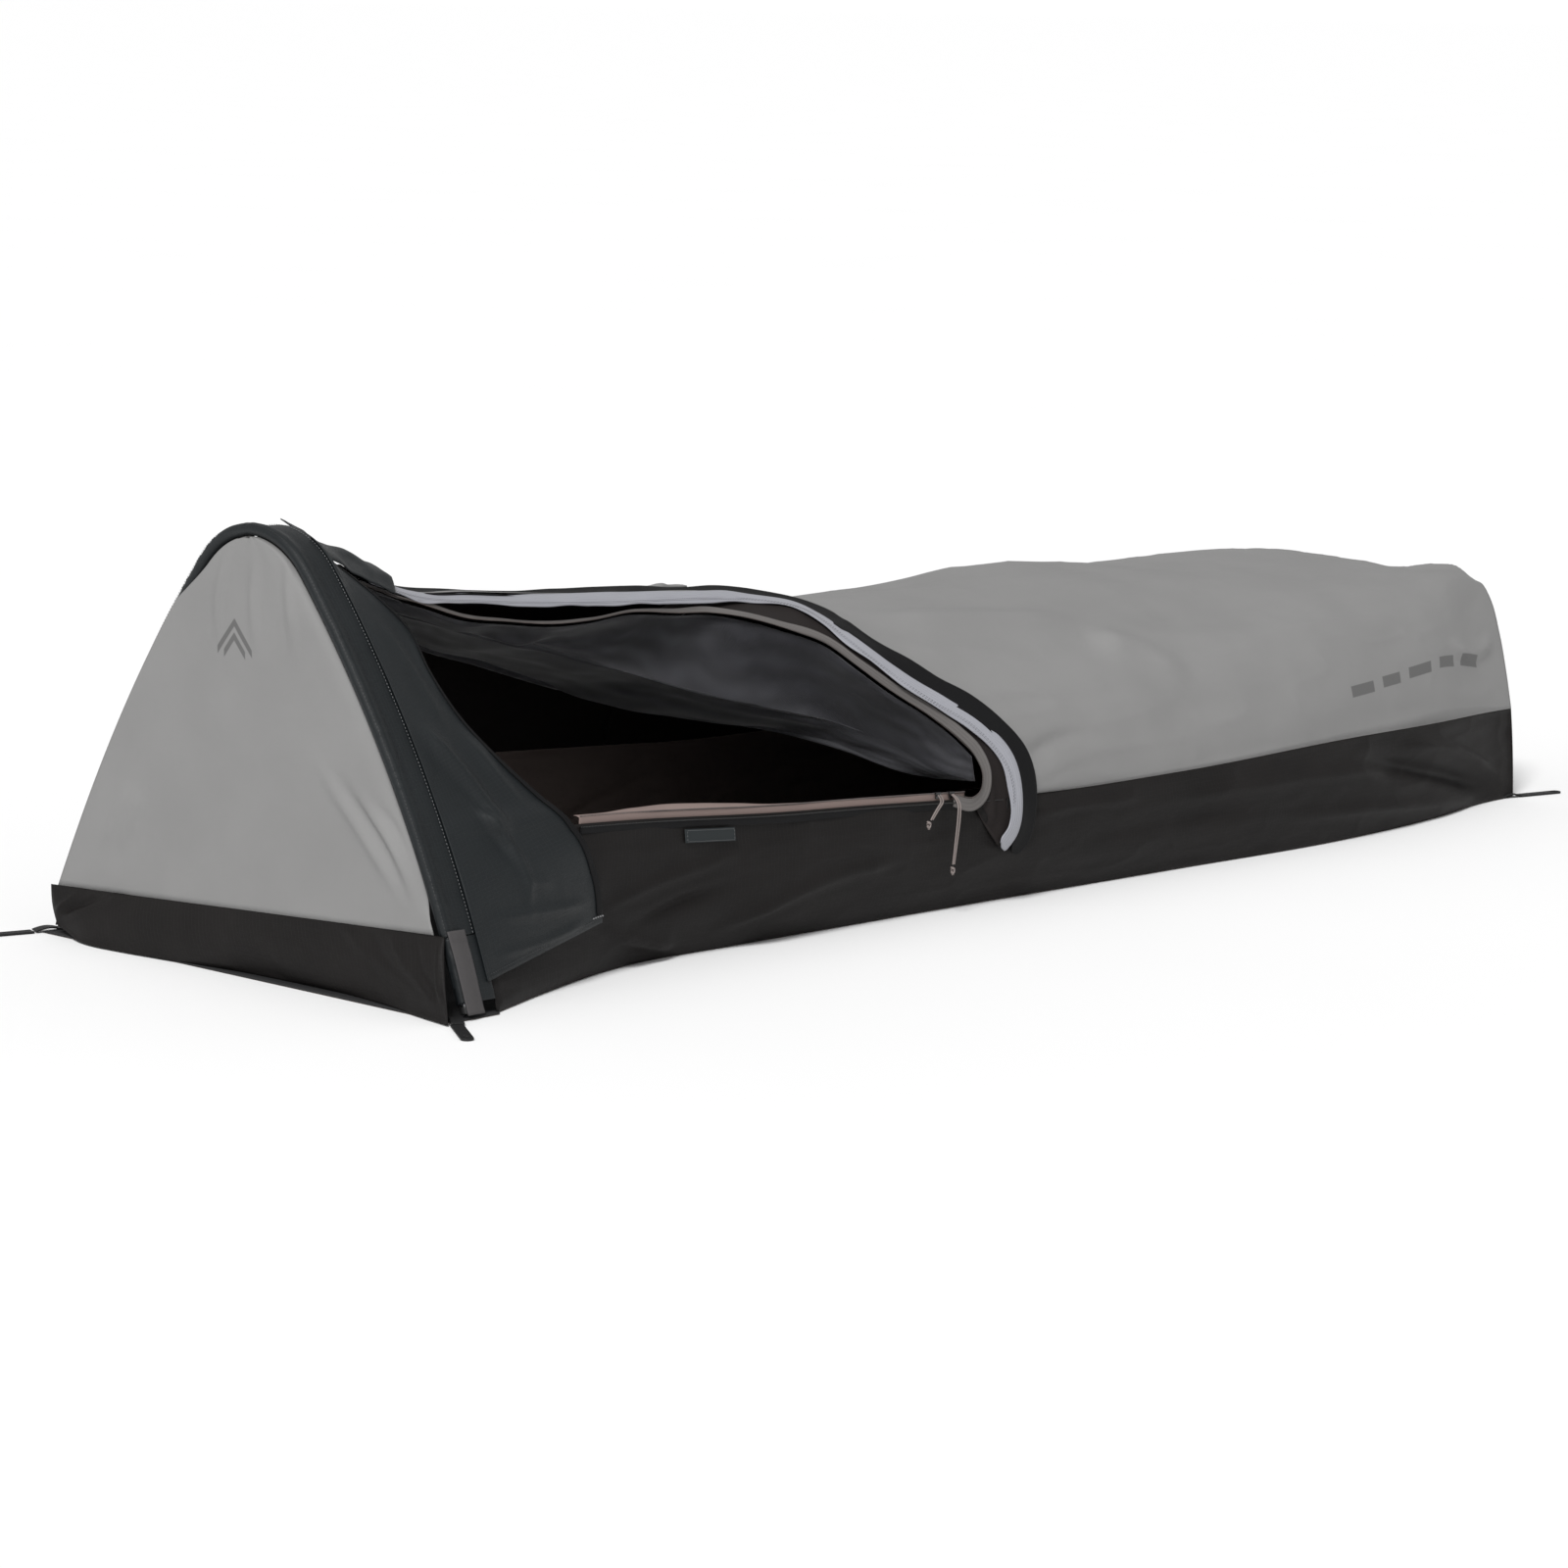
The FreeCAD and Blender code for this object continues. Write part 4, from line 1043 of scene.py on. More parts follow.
@dataclass
class HoopEnd:
    """The head of the sack: sleeve, foot pockets with patches, light panel and dark band."""
    form: Form
    finishes: Finishes
    rig: Rig
    tail: float = 0.045
    nose: float = 0.0085
    bulge: float = 0.0074
    flat: float = 0.0016
    sleeve_low: float = 0.0855

    def seam_height(self, y: Array) -> Array:
        """Height of the seam between the dark band and the light panel, lower towards the far side."""
        return 0.0737 - 0.046 * y

    def tube(self, start: float, end: float, grow: float, seed: int) -> Callable[[Array, Array], Array]:
        """The sleeve's teardrop section carried along the hoop between two shares of its length."""
        pucker = Crumple(seed, 0.011, 0.30, 0.0011)
        slack = Crumple(seed + 1, 0.060, 0.05, 0.0016)

        def shape(u: Array, v: Array) -> Array:
            """Places on the sleeve: u along the hoop, v round its section."""
            share = start + (end - start) * u
            x = (self.tail - self.nose) / 2 - (self.tail + self.nose) / 2 * np.cos(TURN * v)
            front = np.sqrt(np.maximum(1 - (np.minimum(x, 0) / self.nose) ** 2, 0.0))
            fall = 0.5 + 0.5 * np.cos(np.pi * np.clip(x / 0.016, 0.0, 1.0))
            half = (self.flat + (self.bulge - self.flat) * fall) * front
            edge = ease(x, self.tail, self.tail - 0.003) * 0.6 + 0.4
            top = v < 0.5
            run = share * self.form.hoop.length
            crease = (pucker.at(run, x) * ease(x, 0.006, -0.006) + slack.at(run, x) * ease(x, 0.004, 0.02))
            off = np.where(top, half * edge + np.abs(crease), -half * edge) * (1 + grow)
            return self.form.hoop.skin(share, x * (1 + grow * 0.2), off)
        return shape

    def sleeve(self) -> None:
        """The long sleeve over the pole and its two rows of stitches."""
        def core(p: Array) -> Array:
            """Places on the inside of the sleeve."""
            return np.stack([0 * p[..., 0] + 0.01, p[..., 1] * 0.98, p[..., 2] * 0.98], -1)

        low = self.form.hoop.share_at(self.sleeve_low)
        shape = self.tube(low, 1 - low, 0.0, 11)
        panel = Panel("pole_sleeve_cloth", self.form, shape, 420, 40, closed=True, inner=core)
        piece = panel.build([self.finishes.ripstop])
        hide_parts("pole_sleeve")
        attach(piece, "hoop")
        share = np.linspace(low, 1 - low, 260)
        rows = (("sleeve_rear_stitches", 0.036, 0.0030, self.finishes.thread),
                ("sleeve_front_stitches", -0.0062, 0.0062, self.finishes.dark_thread))
        for name, x, off, thread in rows:
            row = Stitches(name, self.form, self.form.hoop.skin(share, x, off)).build(thread)
            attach(row, "hoop")

    def pockets(self) -> None:
        """The two pockets round the pole's feet and the tough patches sewn on them."""
        def core(p: Array) -> Array:
            """Places on the inside of a pocket."""
            return np.stack([0 * p[..., 0] + 0.01, p[..., 1] * 0.9, p[..., 2] + 0.05], -1)

        low = self.form.hoop.share_at(0.016)
        high = self.form.hoop.share_at(self.sleeve_low - 0.001)
        for side, name in ((Side.NEAR, "near"), (Side.FAR, "far")):
            ends = (low, high) if side is Side.NEAR else (1 - high, 1 - low)
            shape = self.tube(ends[0], ends[1], 0.10, 17)
            panel = Panel(f"{name}_foot_pocket_cloth", self.form, shape, 26, 40, closed=True, inner=core)
            piece = panel.build([self.finishes.ripstop])
            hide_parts(f"{name}_foot_pocket")
            self.rig.base(piece)
            patch = Panel(f"{name}_pole_patch", self.form, self.patch_shape(side), 30, 14, 0.0014,
                          crumples=(Crumple(5, 0.02, 0.02, 0.0006),)).build([self.finishes.patch])
            self.rig.base(patch)
            across = np.linspace(0, 1, 12)
            hem = self.patch_shape(side)(0 * across + 0.90, across) + [0, side.value * 0.0022, 0]
            row = Stitches(f"{name}_patch_stitches", self.form, hem, 0.0034, 0.0022)
            stitched = row.build(self.finishes.dark_thread)
            self.rig.base(stitched)

    def patch_shape(self, side: Side) -> Callable[[Array, Array], Array]:
        """The patch over a pole's foot, from the ground up to its hem."""
        def shape(u: Array, v: Array) -> Array:
            """Places on the patch: u up from the ground, v across it."""
            z = 0.003 + u * 0.088
            hoop = self.form.hoop
            share = np.vectorize(hoop.share_at)(np.maximum(z, hoop.foot_lift + 1e-4))
            y, hz, ny, nz = hoop.at(share)
            x = -0.006 + v * 0.029
            fall = 0.5 + 0.5 * np.cos(np.pi * np.clip((x - 0.001) / 0.026, 0.0, 1.0))
            off = 0.0052 + 0.0045 * fall
            below = np.maximum(hoop.foot_lift - z, 0.0)
            places = np.stack([x, y + ny * off - 0.4 * below, hz + nz * off - below], axis=-1)
            places[..., 2] = np.maximum(places[..., 2], 0.0015)
            places[..., 1] *= -side.value
            return places
        return shape

    def panel(self) -> None:
        """The light grey panel inside the hoop, with soft creases at its top and near its corner."""
        hoop = self.form.hoop

        def shape(u: Array, v: Array) -> Array:
            """Places on the panel: u from the near side to the far side, v up."""
            far_side = ease(u, 0.80, 1.0)
            low = self.seam_height((2 * u - 1) * 0.32)
            z = low + (hoop.height - 0.0076 - low) * (1 - (1 - v) ** 2)
            half = np.maximum(hoop.half_width(z + 0.0065) - 0.0065, 0.0)
            half = np.where(v > 0.9999, 0.0, half)
            below_crown = 1 - ease(z, 0.41, 0.47)
            wrap = 0.0150 * below_crown * far_side
            y = (2 * u - 1) * half + wrap
            belly = 0.006 * (1 - (2 * u - 1) ** 2) * np.sin(np.pi * v)
            flare = (0.0015 + 0.010 * u) * (1 - v) ** 6
            tuck = 0.007 * np.abs(2 * u - 1) ** 24 * ease(z, 0.10, 0.13) * (1 - far_side * below_crown)
            return np.stack([-0.0095 - belly * 0.5 - flare + tuck, y, z], axis=-1)

        folds = [Fold(((-0.01, 0.03 - 0.045 * k, 0.50), (-0.01, 0.05 - 0.06 * k, 0.43),
                       (-0.01, 0.05 - 0.065 * k, 0.36)), 0.010, 0.0024, 0.45) for k in range(4)]
        folds += [Fold(((-0.01, -0.10 - 0.03 * k, 0.27 - 0.012 * k), (-0.01, -0.19 - 0.02 * k, 0.19),
                        (-0.01, -0.27 - 0.008 * k, 0.105)), 0.011, 0.0030 * (-1) ** k, 0.4) for k in range(4)]
        folds += [Fold(((-0.01, 0.26 - 0.03 * k, 0.11), (-0.01, 0.20 - 0.02 * k, 0.20)), 0.012, 0.0025)
                  for k in range(2)]
        piece = Panel("head_panel_cloth", self.form, shape, 150, 110, 0.0012, tuple(folds),
                      (Crumple(21, 0.16, 0.12, 0.0022), Crumple(22, 0.035, 0.05, 0.0005)), 0.012,
                      inner=lambda p: p + [1.0, 0, 0])
        made = piece.build([self.finishes.head, self.finishes.lining])
        self.level_uv(made)
        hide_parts("head_panel")
        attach(made, "hoop")

    def level_uv(self, piece: bpy.types.Object) -> None:
        """Gives the head panel a cloth map of plain y and z, so that its print stays upright."""
        mesh = piece.data
        layer = mesh.uv_layers[CUT]
        for loop in mesh.loops:
            co = mesh.vertices[loop.vertex_index].co
            layer.data[loop.index].uv = (co.y - self.form.centre_y, co.z)

    def band(self) -> None:
        """The dark band at the base of the head, pulled out towards the corners."""
        near_top, far_top = -0.323, 0.346
        reach_y = (-0.372, -0.33, -0.25, -0.173, -0.107, -0.044, 0.02, 0.076, 0.138, 0.2, 0.25, 0.307, 0.36)
        reach_x = (-0.044, -0.037, -0.022, -0.0125, -0.0115, -0.0125, -0.016, -0.024, -0.032, -0.039, -0.041,
                   -0.030, -0.020)

        def shape(u: Array, v: Array) -> Array:
            """Places on the band: u from the near corner to the far one, v up."""
            foot_y = -0.362 + 0.690 * u
            top_y = near_top + (far_top - near_top) * u
            foot_x = through(foot_y, reach_y, reach_x)
            belly = -0.006 * np.sin(np.pi * v) * (1 - 0.5 * np.cos(TURN * u))
            x = foot_x + (-0.0112 - 0.010 * u - foot_x) * v ** 0.9 + belly
            y = foot_y + (top_y - foot_y) * v
            low = 0.0012 + 0.010 * ease(foot_y, 0.27, 0.328)
            return np.stack([x, y, low + (self.seam_height(top_y) + 0.001 - low) * v], axis=-1)

        folds = [Fold(((-0.04, -0.345, 0.018), (-0.03, -0.33 + 0.03 * k, 0.055),
                       (-0.015, -0.32 + 0.045 * k, 0.096)),
                      0.006 + 0.001 * k, 0.0052 * (-1) ** k, 0.3) for k in range(5)]
        folds += [Fold(((-0.03, 0.335, 0.02), (-0.03, 0.30 - 0.03 * k, 0.05),
                        (-0.015, 0.27 - 0.05 * k, 0.09)), 0.007, 0.004 * (-1) ** k) for k in range(3)]
        piece = Panel("head_band_cloth", self.form, shape, 200, 34, 0.0012, tuple(folds),
                      (Crumple(31, 0.09, 0.05, 0.0028), Crumple(32, 0.02, 0.03, 0.0006)), 0.008,
                      inner=lambda p: p + [1.0, 0, 0]).build([self.finishes.wall])
        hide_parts("head_tub_wall")
        self.rig.base(piece)

    def build(self) -> None:
        """Makes the whole head end."""
        self.sleeve()
        self.pockets()
        self.panel()
        self.band()
        dress(("pole_near_section", "pole_middle_section", "pole_far_section"), self.finishes.alloy)
        dress(("near_ferrule", "far_ferrule"), self.finishes.bright)
        dress(("near_pole_tip", "far_pole_tip"), self.finishes.plastic)
        dress(("shock_cord",), self.finishes.elastic)


@dataclass
class Tub:
    """The dark floor, long walls and foot panel, with the sewn-on label."""
    form: Form
    finishes: Finishes
    rig: Rig
    low_edge: float = 0.001
    wall_end: float = 2.1285
    panel_x: float = 2.1275
    label_height: float = 0.016

    def wall_shape(self, side: Side) -> Callable[[Array, Array], Array]:
        """One long wall from the ground to its seam."""
        def shape(u: Array, v: Array) -> Array:
            """Places on the wall: u towards the foot, v up."""
            x = self.form.front + (self.wall_end - self.form.front) * u
            z = self.low_edge + (self.form.seam_height(x) - self.low_edge) * v
            return np.stack([x, side.value * self.form.wall(x, z), z], axis=-1)
        return shape

    def under_gusset(self, places: Array) -> Array:
        """Keeps the walls smooth where the gusset lies on them."""
        return 1 - 0.95 * (1 - ease(places[..., 0], 0.235, 0.275)) * ease(places[..., 2], 0.045, 0.065)

    def walls(self) -> None:
        """Both long walls."""
        near = [Fold(((0.055, -0.35, 0.012 + 0.006 * k), (0.13, -0.33, 0.03 + 0.012 * k),
                      (0.24 + 0.01 * k, -0.29, 0.045 + 0.010 * k)),
                     0.0065, 0.0055 * (-1) ** k, 0.3) for k in range(4)]
        near += [Fold(((0.27, -0.28, 0.060), (0.33, -0.27, 0.035), (0.42, -0.26, 0.012)), 0.010, 0.006),
                 Fold(((0.26, -0.29, 0.075), (0.36, -0.29, 0.10), (0.50, -0.29, 0.118)), 0.009, 0.0045),
                 Fold(((0.30, -0.28, 0.045), (0.48, -0.28, 0.085), (0.66, -0.285, 0.105)), 0.010, -0.005),
                 Fold(((0.45, -0.27, 0.02), (0.62, -0.285, 0.065), (0.82, -0.29, 0.082)), 0.012, 0.006),
                 Fold(((0.62, -0.29, 0.12), (0.76, -0.29, 0.095), (0.90, -0.29, 0.10)), 0.010, 0.004),
                 Fold(((0.99, -0.30, 0.105), (1.10, -0.30, 0.110), (1.22, -0.305, 0.104)), 0.008, 0.006),
                 Fold(((1.02, -0.29, 0.060), (1.28, -0.30, 0.075), (1.50, -0.31, 0.060)), 0.016, -0.006),
                 Fold(((1.30, -0.31, 0.10), (1.55, -0.31, 0.095), (1.80, -0.30, 0.085)), 0.014, 0.006),
                 Fold(((1.66, -0.31, 0.110), (1.86, -0.29, 0.070), (2.10, -0.25, 0.012)), 0.016, -0.010),
                 Fold(((1.75, -0.30, 0.120), (1.93, -0.28, 0.092), (2.115, -0.25, 0.030)), 0.012, 0.007),
                 Fold(((1.45, -0.31, 0.05), (1.75, -0.30, 0.035), (2.05, -0.25, 0.010)), 0.012, 0.006)]
        far = [Fold(((0.06 + 0.32 * k, 0.29, 0.02), (0.2 + 0.32 * k, 0.29, 0.07),
                     (0.36 + 0.32 * k, 0.29, 0.10)), 0.013, 0.005 * (-1) ** k) for k in range(6)]
        for side, folds, name in ((Side.NEAR, near, "near"), (Side.FAR, far, "far")):
            crumples = (Crumple(41, 0.05, 0.016, 0.0011), Crumple(42, 0.20, 0.06, 0.0030),
                        Crumple(43, 0.10, 0.03, 0.0012, ridged=True))
            panel = Panel(f"{name}_wall_cloth", self.form, self.wall_shape(side), 460, 44, 0.0012,
                          tuple(folds), crumples, 0.010, calm=self.under_gusset)
            piece = panel.build([self.finishes.wall, self.finishes.inside])
            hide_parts(f"{name}_tub_wall")
            self.rig.hang(piece)

    def floor(self) -> None:
        """The floor sheet, with the soft ruckles of cloth that lies on the ground."""
        def shape(u: Array, v: Array) -> Array:
            """Places on the floor: u towards the foot, v from the near side to the far side."""
            x = -0.028 + (self.form.length - 0.0015 + 0.028) * u
            half = np.where(x < self.form.front, 0.355, through(x, self.form.wall_x, self.form.base)) - 0.0015
            return np.stack([x, (2 * v - 1) * half, 0 * u + 0.0016], axis=-1)
        piece = Panel("floor_cloth", self.form, shape, 240, 60, 0.0012,
                      crumples=(Crumple(51, 0.12, 0.09, 0.0004),), inner=lambda p: p - [0, 0, 1.0])
        made = piece.build([self.finishes.floor, self.finishes.inside])
        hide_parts("floor_sheet")
        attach(made, "root")

    def foot(self) -> None:
        """The dark end panel at the foot."""
        x = np.array(self.panel_x)
        seam, low = self.form.seam_height(x), self.form.wall(x, np.array(self.low_edge))
        turns = np.linspace(0, np.pi, 60)
        arch_y, arch_z = self.form.cover(x, turns)
        side_z = np.linspace(self.low_edge, float(seam), 16)[:-1]
        side_y = self.form.wall(np.full(side_z.shape, float(x)), side_z)
        outline = np.concatenate([np.stack([-side_y, side_z], 1), np.stack([arch_y, arch_z], 1),
                                  np.stack([side_y, side_z], 1)[::-1]])
        run = np.concatenate([[0.0], np.cumsum(np.linalg.norm(np.diff(outline, axis=0), axis=1))])

        def shape(u: Array, v: Array) -> Array:
            """Places on the panel: u round its outline, v up from the floor's edge to it."""
            y, z = np.interp(u * run[-1], run, outline[:, 0]), np.interp(u * run[-1], run, outline[:, 1])
            foot_y = float(low) * (2 * u - 1)
            swell = 0.0035 * np.sin(np.pi * v) * np.sin(np.pi * u)
            return np.stack([self.panel_x + swell, foot_y + (y - foot_y) * v,
                             self.low_edge + (z - self.low_edge) * v], axis=-1)

        folds = [Fold(((2.13, -0.22 + 0.11 * k, 0.02), (2.13, -0.20 + 0.10 * k, 0.14),
                       (2.13, -0.21 + 0.10 * k, 0.26)), 0.014, 0.004 * (-1) ** k) for k in range(5)]
        piece = Panel("foot_panel_cloth", self.form, shape, 140, 50, 0.0012, tuple(folds),
                      (Crumple(61, 0.07, 0.07, 0.0015),), 0.012, inner=lambda p: p - [1.0, 0, 0])
        made = piece.build([self.finishes.wall, self.finishes.lining])
        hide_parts("foot_end_panel")
        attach(made, "root")

    def label(self) -> None:
        """A plain woven patch sewn on the near wall."""
        low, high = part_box("label_patch")
        x0, x1 = low.x - self.form.hoop_x, high.x - self.form.hoop_x

        def shape(u: Array, v: Array) -> Array:
            """Places on the label: u towards the foot, v up."""
            x = x0 + (x1 - x0) * u
            tilt = self.form.seam_height(x) - self.form.seam_height(np.array(x0))
            z = high.z - self.label_height + self.label_height * v + tilt
            return np.stack([x, -self.form.wall(x, z) - 0.0035, z], axis=-1)
        made = Panel("label_patch_woven", self.form, shape, 40, 12, 0.0008,
                     crumples=(Crumple(71, 0.03, 0.02, 0.0006),)).build([self.finishes.label])
        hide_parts("label_patch")
        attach(made, "root")
        rim = np.array([[0.03, 0.1], [0.97, 0.1], [0.97, 0.9], [0.03, 0.9], [0.03, 0.1]])
        for k, (a, b) in enumerate(zip(rim, rim[1:])):
            t = np.linspace(0, 1, 8)
            line = shape(a[0] + (b[0] - a[0]) * t, a[1] + (b[1] - a[1]) * t) - [0, 0.0012, 0]
            stitches = Stitches(f"label_stitches_{k}", self.form, line, 0.0030, 0.0020, 0.0005)
            row = stitches.build(self.finishes.thread)
            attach(row, "root")

    def build(self) -> None:
        """Makes the whole tub."""
        self.walls()
        self.floor()
        self.foot()
        self.label()


@dataclass
class Covers:
    """The light grey cover over the legs and its far part behind the open door."""
    form: Form
    finishes: Finishes
    rig: Rig
    split: float = 0.848
    end_x: float = 2.1290
    edge_share: tuple = (0.0, 0.2, 0.42, 0.54, 0.70, 0.82, 0.905, 0.953, 1.0)
    edge_x: tuple = (0.812, 0.838, 0.826, 0.830, 0.851, 0.891, 0.936, 0.959, 0.982)

    def start_x(self, turn: Array) -> Array:
        """Where the leg cover begins: at the door's edge on the near side, at a seam on the far side."""
        share = np.abs(np.cos(turn)) ** (2.0 / 1.8)
        near = through(share, self.edge_share, self.edge_x)
        return np.where(turn < np.pi / 2, near, np.minimum(near, self.split))

    def leg_shape(self, u: Array, v: Array) -> Array:
        """The cover over the legs."""
        turn = np.pi * v
        start = self.start_x(turn)
        x = start + (self.end_x - start) * u
        y, z = self.form.cover(x, turn)
        return np.stack([x, y, z], axis=-1)

    def far_shape(self, u: Array, v: Array) -> Array:
        """The far part behind the door."""
        turn = np.pi * (0.493 + 0.507 * v)
        x = 0.046 + (self.split - 0.046) * u
        y, z = self.form.cover(x, turn)
        return np.stack([x, y, z], axis=-1)

    def build(self) -> None:
        """Makes both covers."""
        legs = [Fold(((0.88, -0.10, 0.35), (1.05, -0.13, 0.335), (1.27, -0.17, 0.315)), 0.030, 0.008),
                Fold(((1.00, -0.24, 0.25), (1.10, -0.25, 0.23), (1.26, -0.255, 0.235)), 0.012, -0.007),
                Fold(((0.985, -0.285, 0.17), (1.06, -0.28, 0.19), (1.18, -0.275, 0.19)), 0.013, -0.006),
                Fold(((1.00, -0.29, 0.15), (1.09, -0.285, 0.165), (1.22, -0.28, 0.175)), 0.010, 0.006),
                Fold(((1.22, -0.20, 0.30), (1.30, -0.22, 0.27), (1.36, -0.26, 0.22)), 0.030, 0.009),
                Fold(((1.28, -0.27, 0.21), (1.42, -0.27, 0.20), (1.60, -0.27, 0.21)), 0.022, -0.009),
                Fold(((1.30, -0.18, 0.31), (1.48, -0.20, 0.295), (1.72, -0.21, 0.29)), 0.026, -0.008),
                Fold(((1.50, -0.23, 0.26), (1.70, -0.23, 0.26), (1.92, -0.22, 0.26)), 0.024, 0.008),
                Fold(((1.92, -0.21, 0.28), (2.02, -0.205, 0.27), (2.11, -0.19, 0.285)), 0.014, -0.009),
                Fold(((2.00, -0.12, 0.335), (2.06, -0.15, 0.325), (2.12, -0.175, 0.305)), 0.012, 0.006),
                Fold(((1.93, -0.26, 0.235), (2.02, -0.25, 0.215), (2.11, -0.22, 0.23)), 0.012, 0.006),
                Fold(((1.62, -0.28, 0.16), (1.78, -0.28, 0.172), (1.95, -0.26, 0.160)), 0.010, 0.005),
                Fold(((1.05, 0.02, 0.36), (1.3, 0.05, 0.36), (1.6, 0.04, 0.35)), 0.05, 0.006)]
        legs += [Fold(((1.0 + 0.25 * k, 0.16, 0.32), (1.08 + 0.25 * k, 0.24, 0.26),
                       (1.12 + 0.25 * k, 0.29, 0.17)), 0.022, 0.008 * (-1) ** k) for k in range(4)]
        piece = Panel("leg_cover_cloth", self.form, self.leg_shape, 230, 150, 0.0012, tuple(legs),
                      (Crumple(81, 0.22, 0.14, 0.0050), Crumple(82, 0.07, 0.05, 0.0014),
                       Crumple(83, 0.11, 0.035, 0.0010, ridged=True)), 0.016)
        made = piece.build([self.finishes.cover, self.finishes.lining])
        self.plan_uv(made)
        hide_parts("foot_cover")
        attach(made, "root")
        folds = [Fold(((0.10 + 0.15 * k, 0.05, 0.42), (0.15 + 0.15 * k, 0.17, 0.33),
                       (0.17 + 0.15 * k, 0.27, 0.2)), 0.020, 0.007 * (-1) ** k) for k in range(5)]
        far = Panel("far_cover_cloth", self.form, self.far_shape, 170, 90, 0.0012, tuple(folds),
                    (Crumple(91, 0.18, 0.12, 0.0035), Crumple(92, 0.05, 0.04, 0.0010)), 0.012)
        made = far.build([self.finishes.door, self.finishes.lining])
        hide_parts("far_cover")
        self.rig.hang(made)

    def plan_uv(self, piece: bpy.types.Object) -> None:
        """Gives the leg cover a cloth map whose length is the distance from the hoop."""
        mesh = piece.data
        layer = mesh.uv_layers[CUT]
        for loop in mesh.loops:
            co = mesh.vertices[loop.vertex_index].co
            across = layer.data[loop.index].uv[1]
            layer.data[loop.index].uv = (co.x - self.form.hoop_x, across)


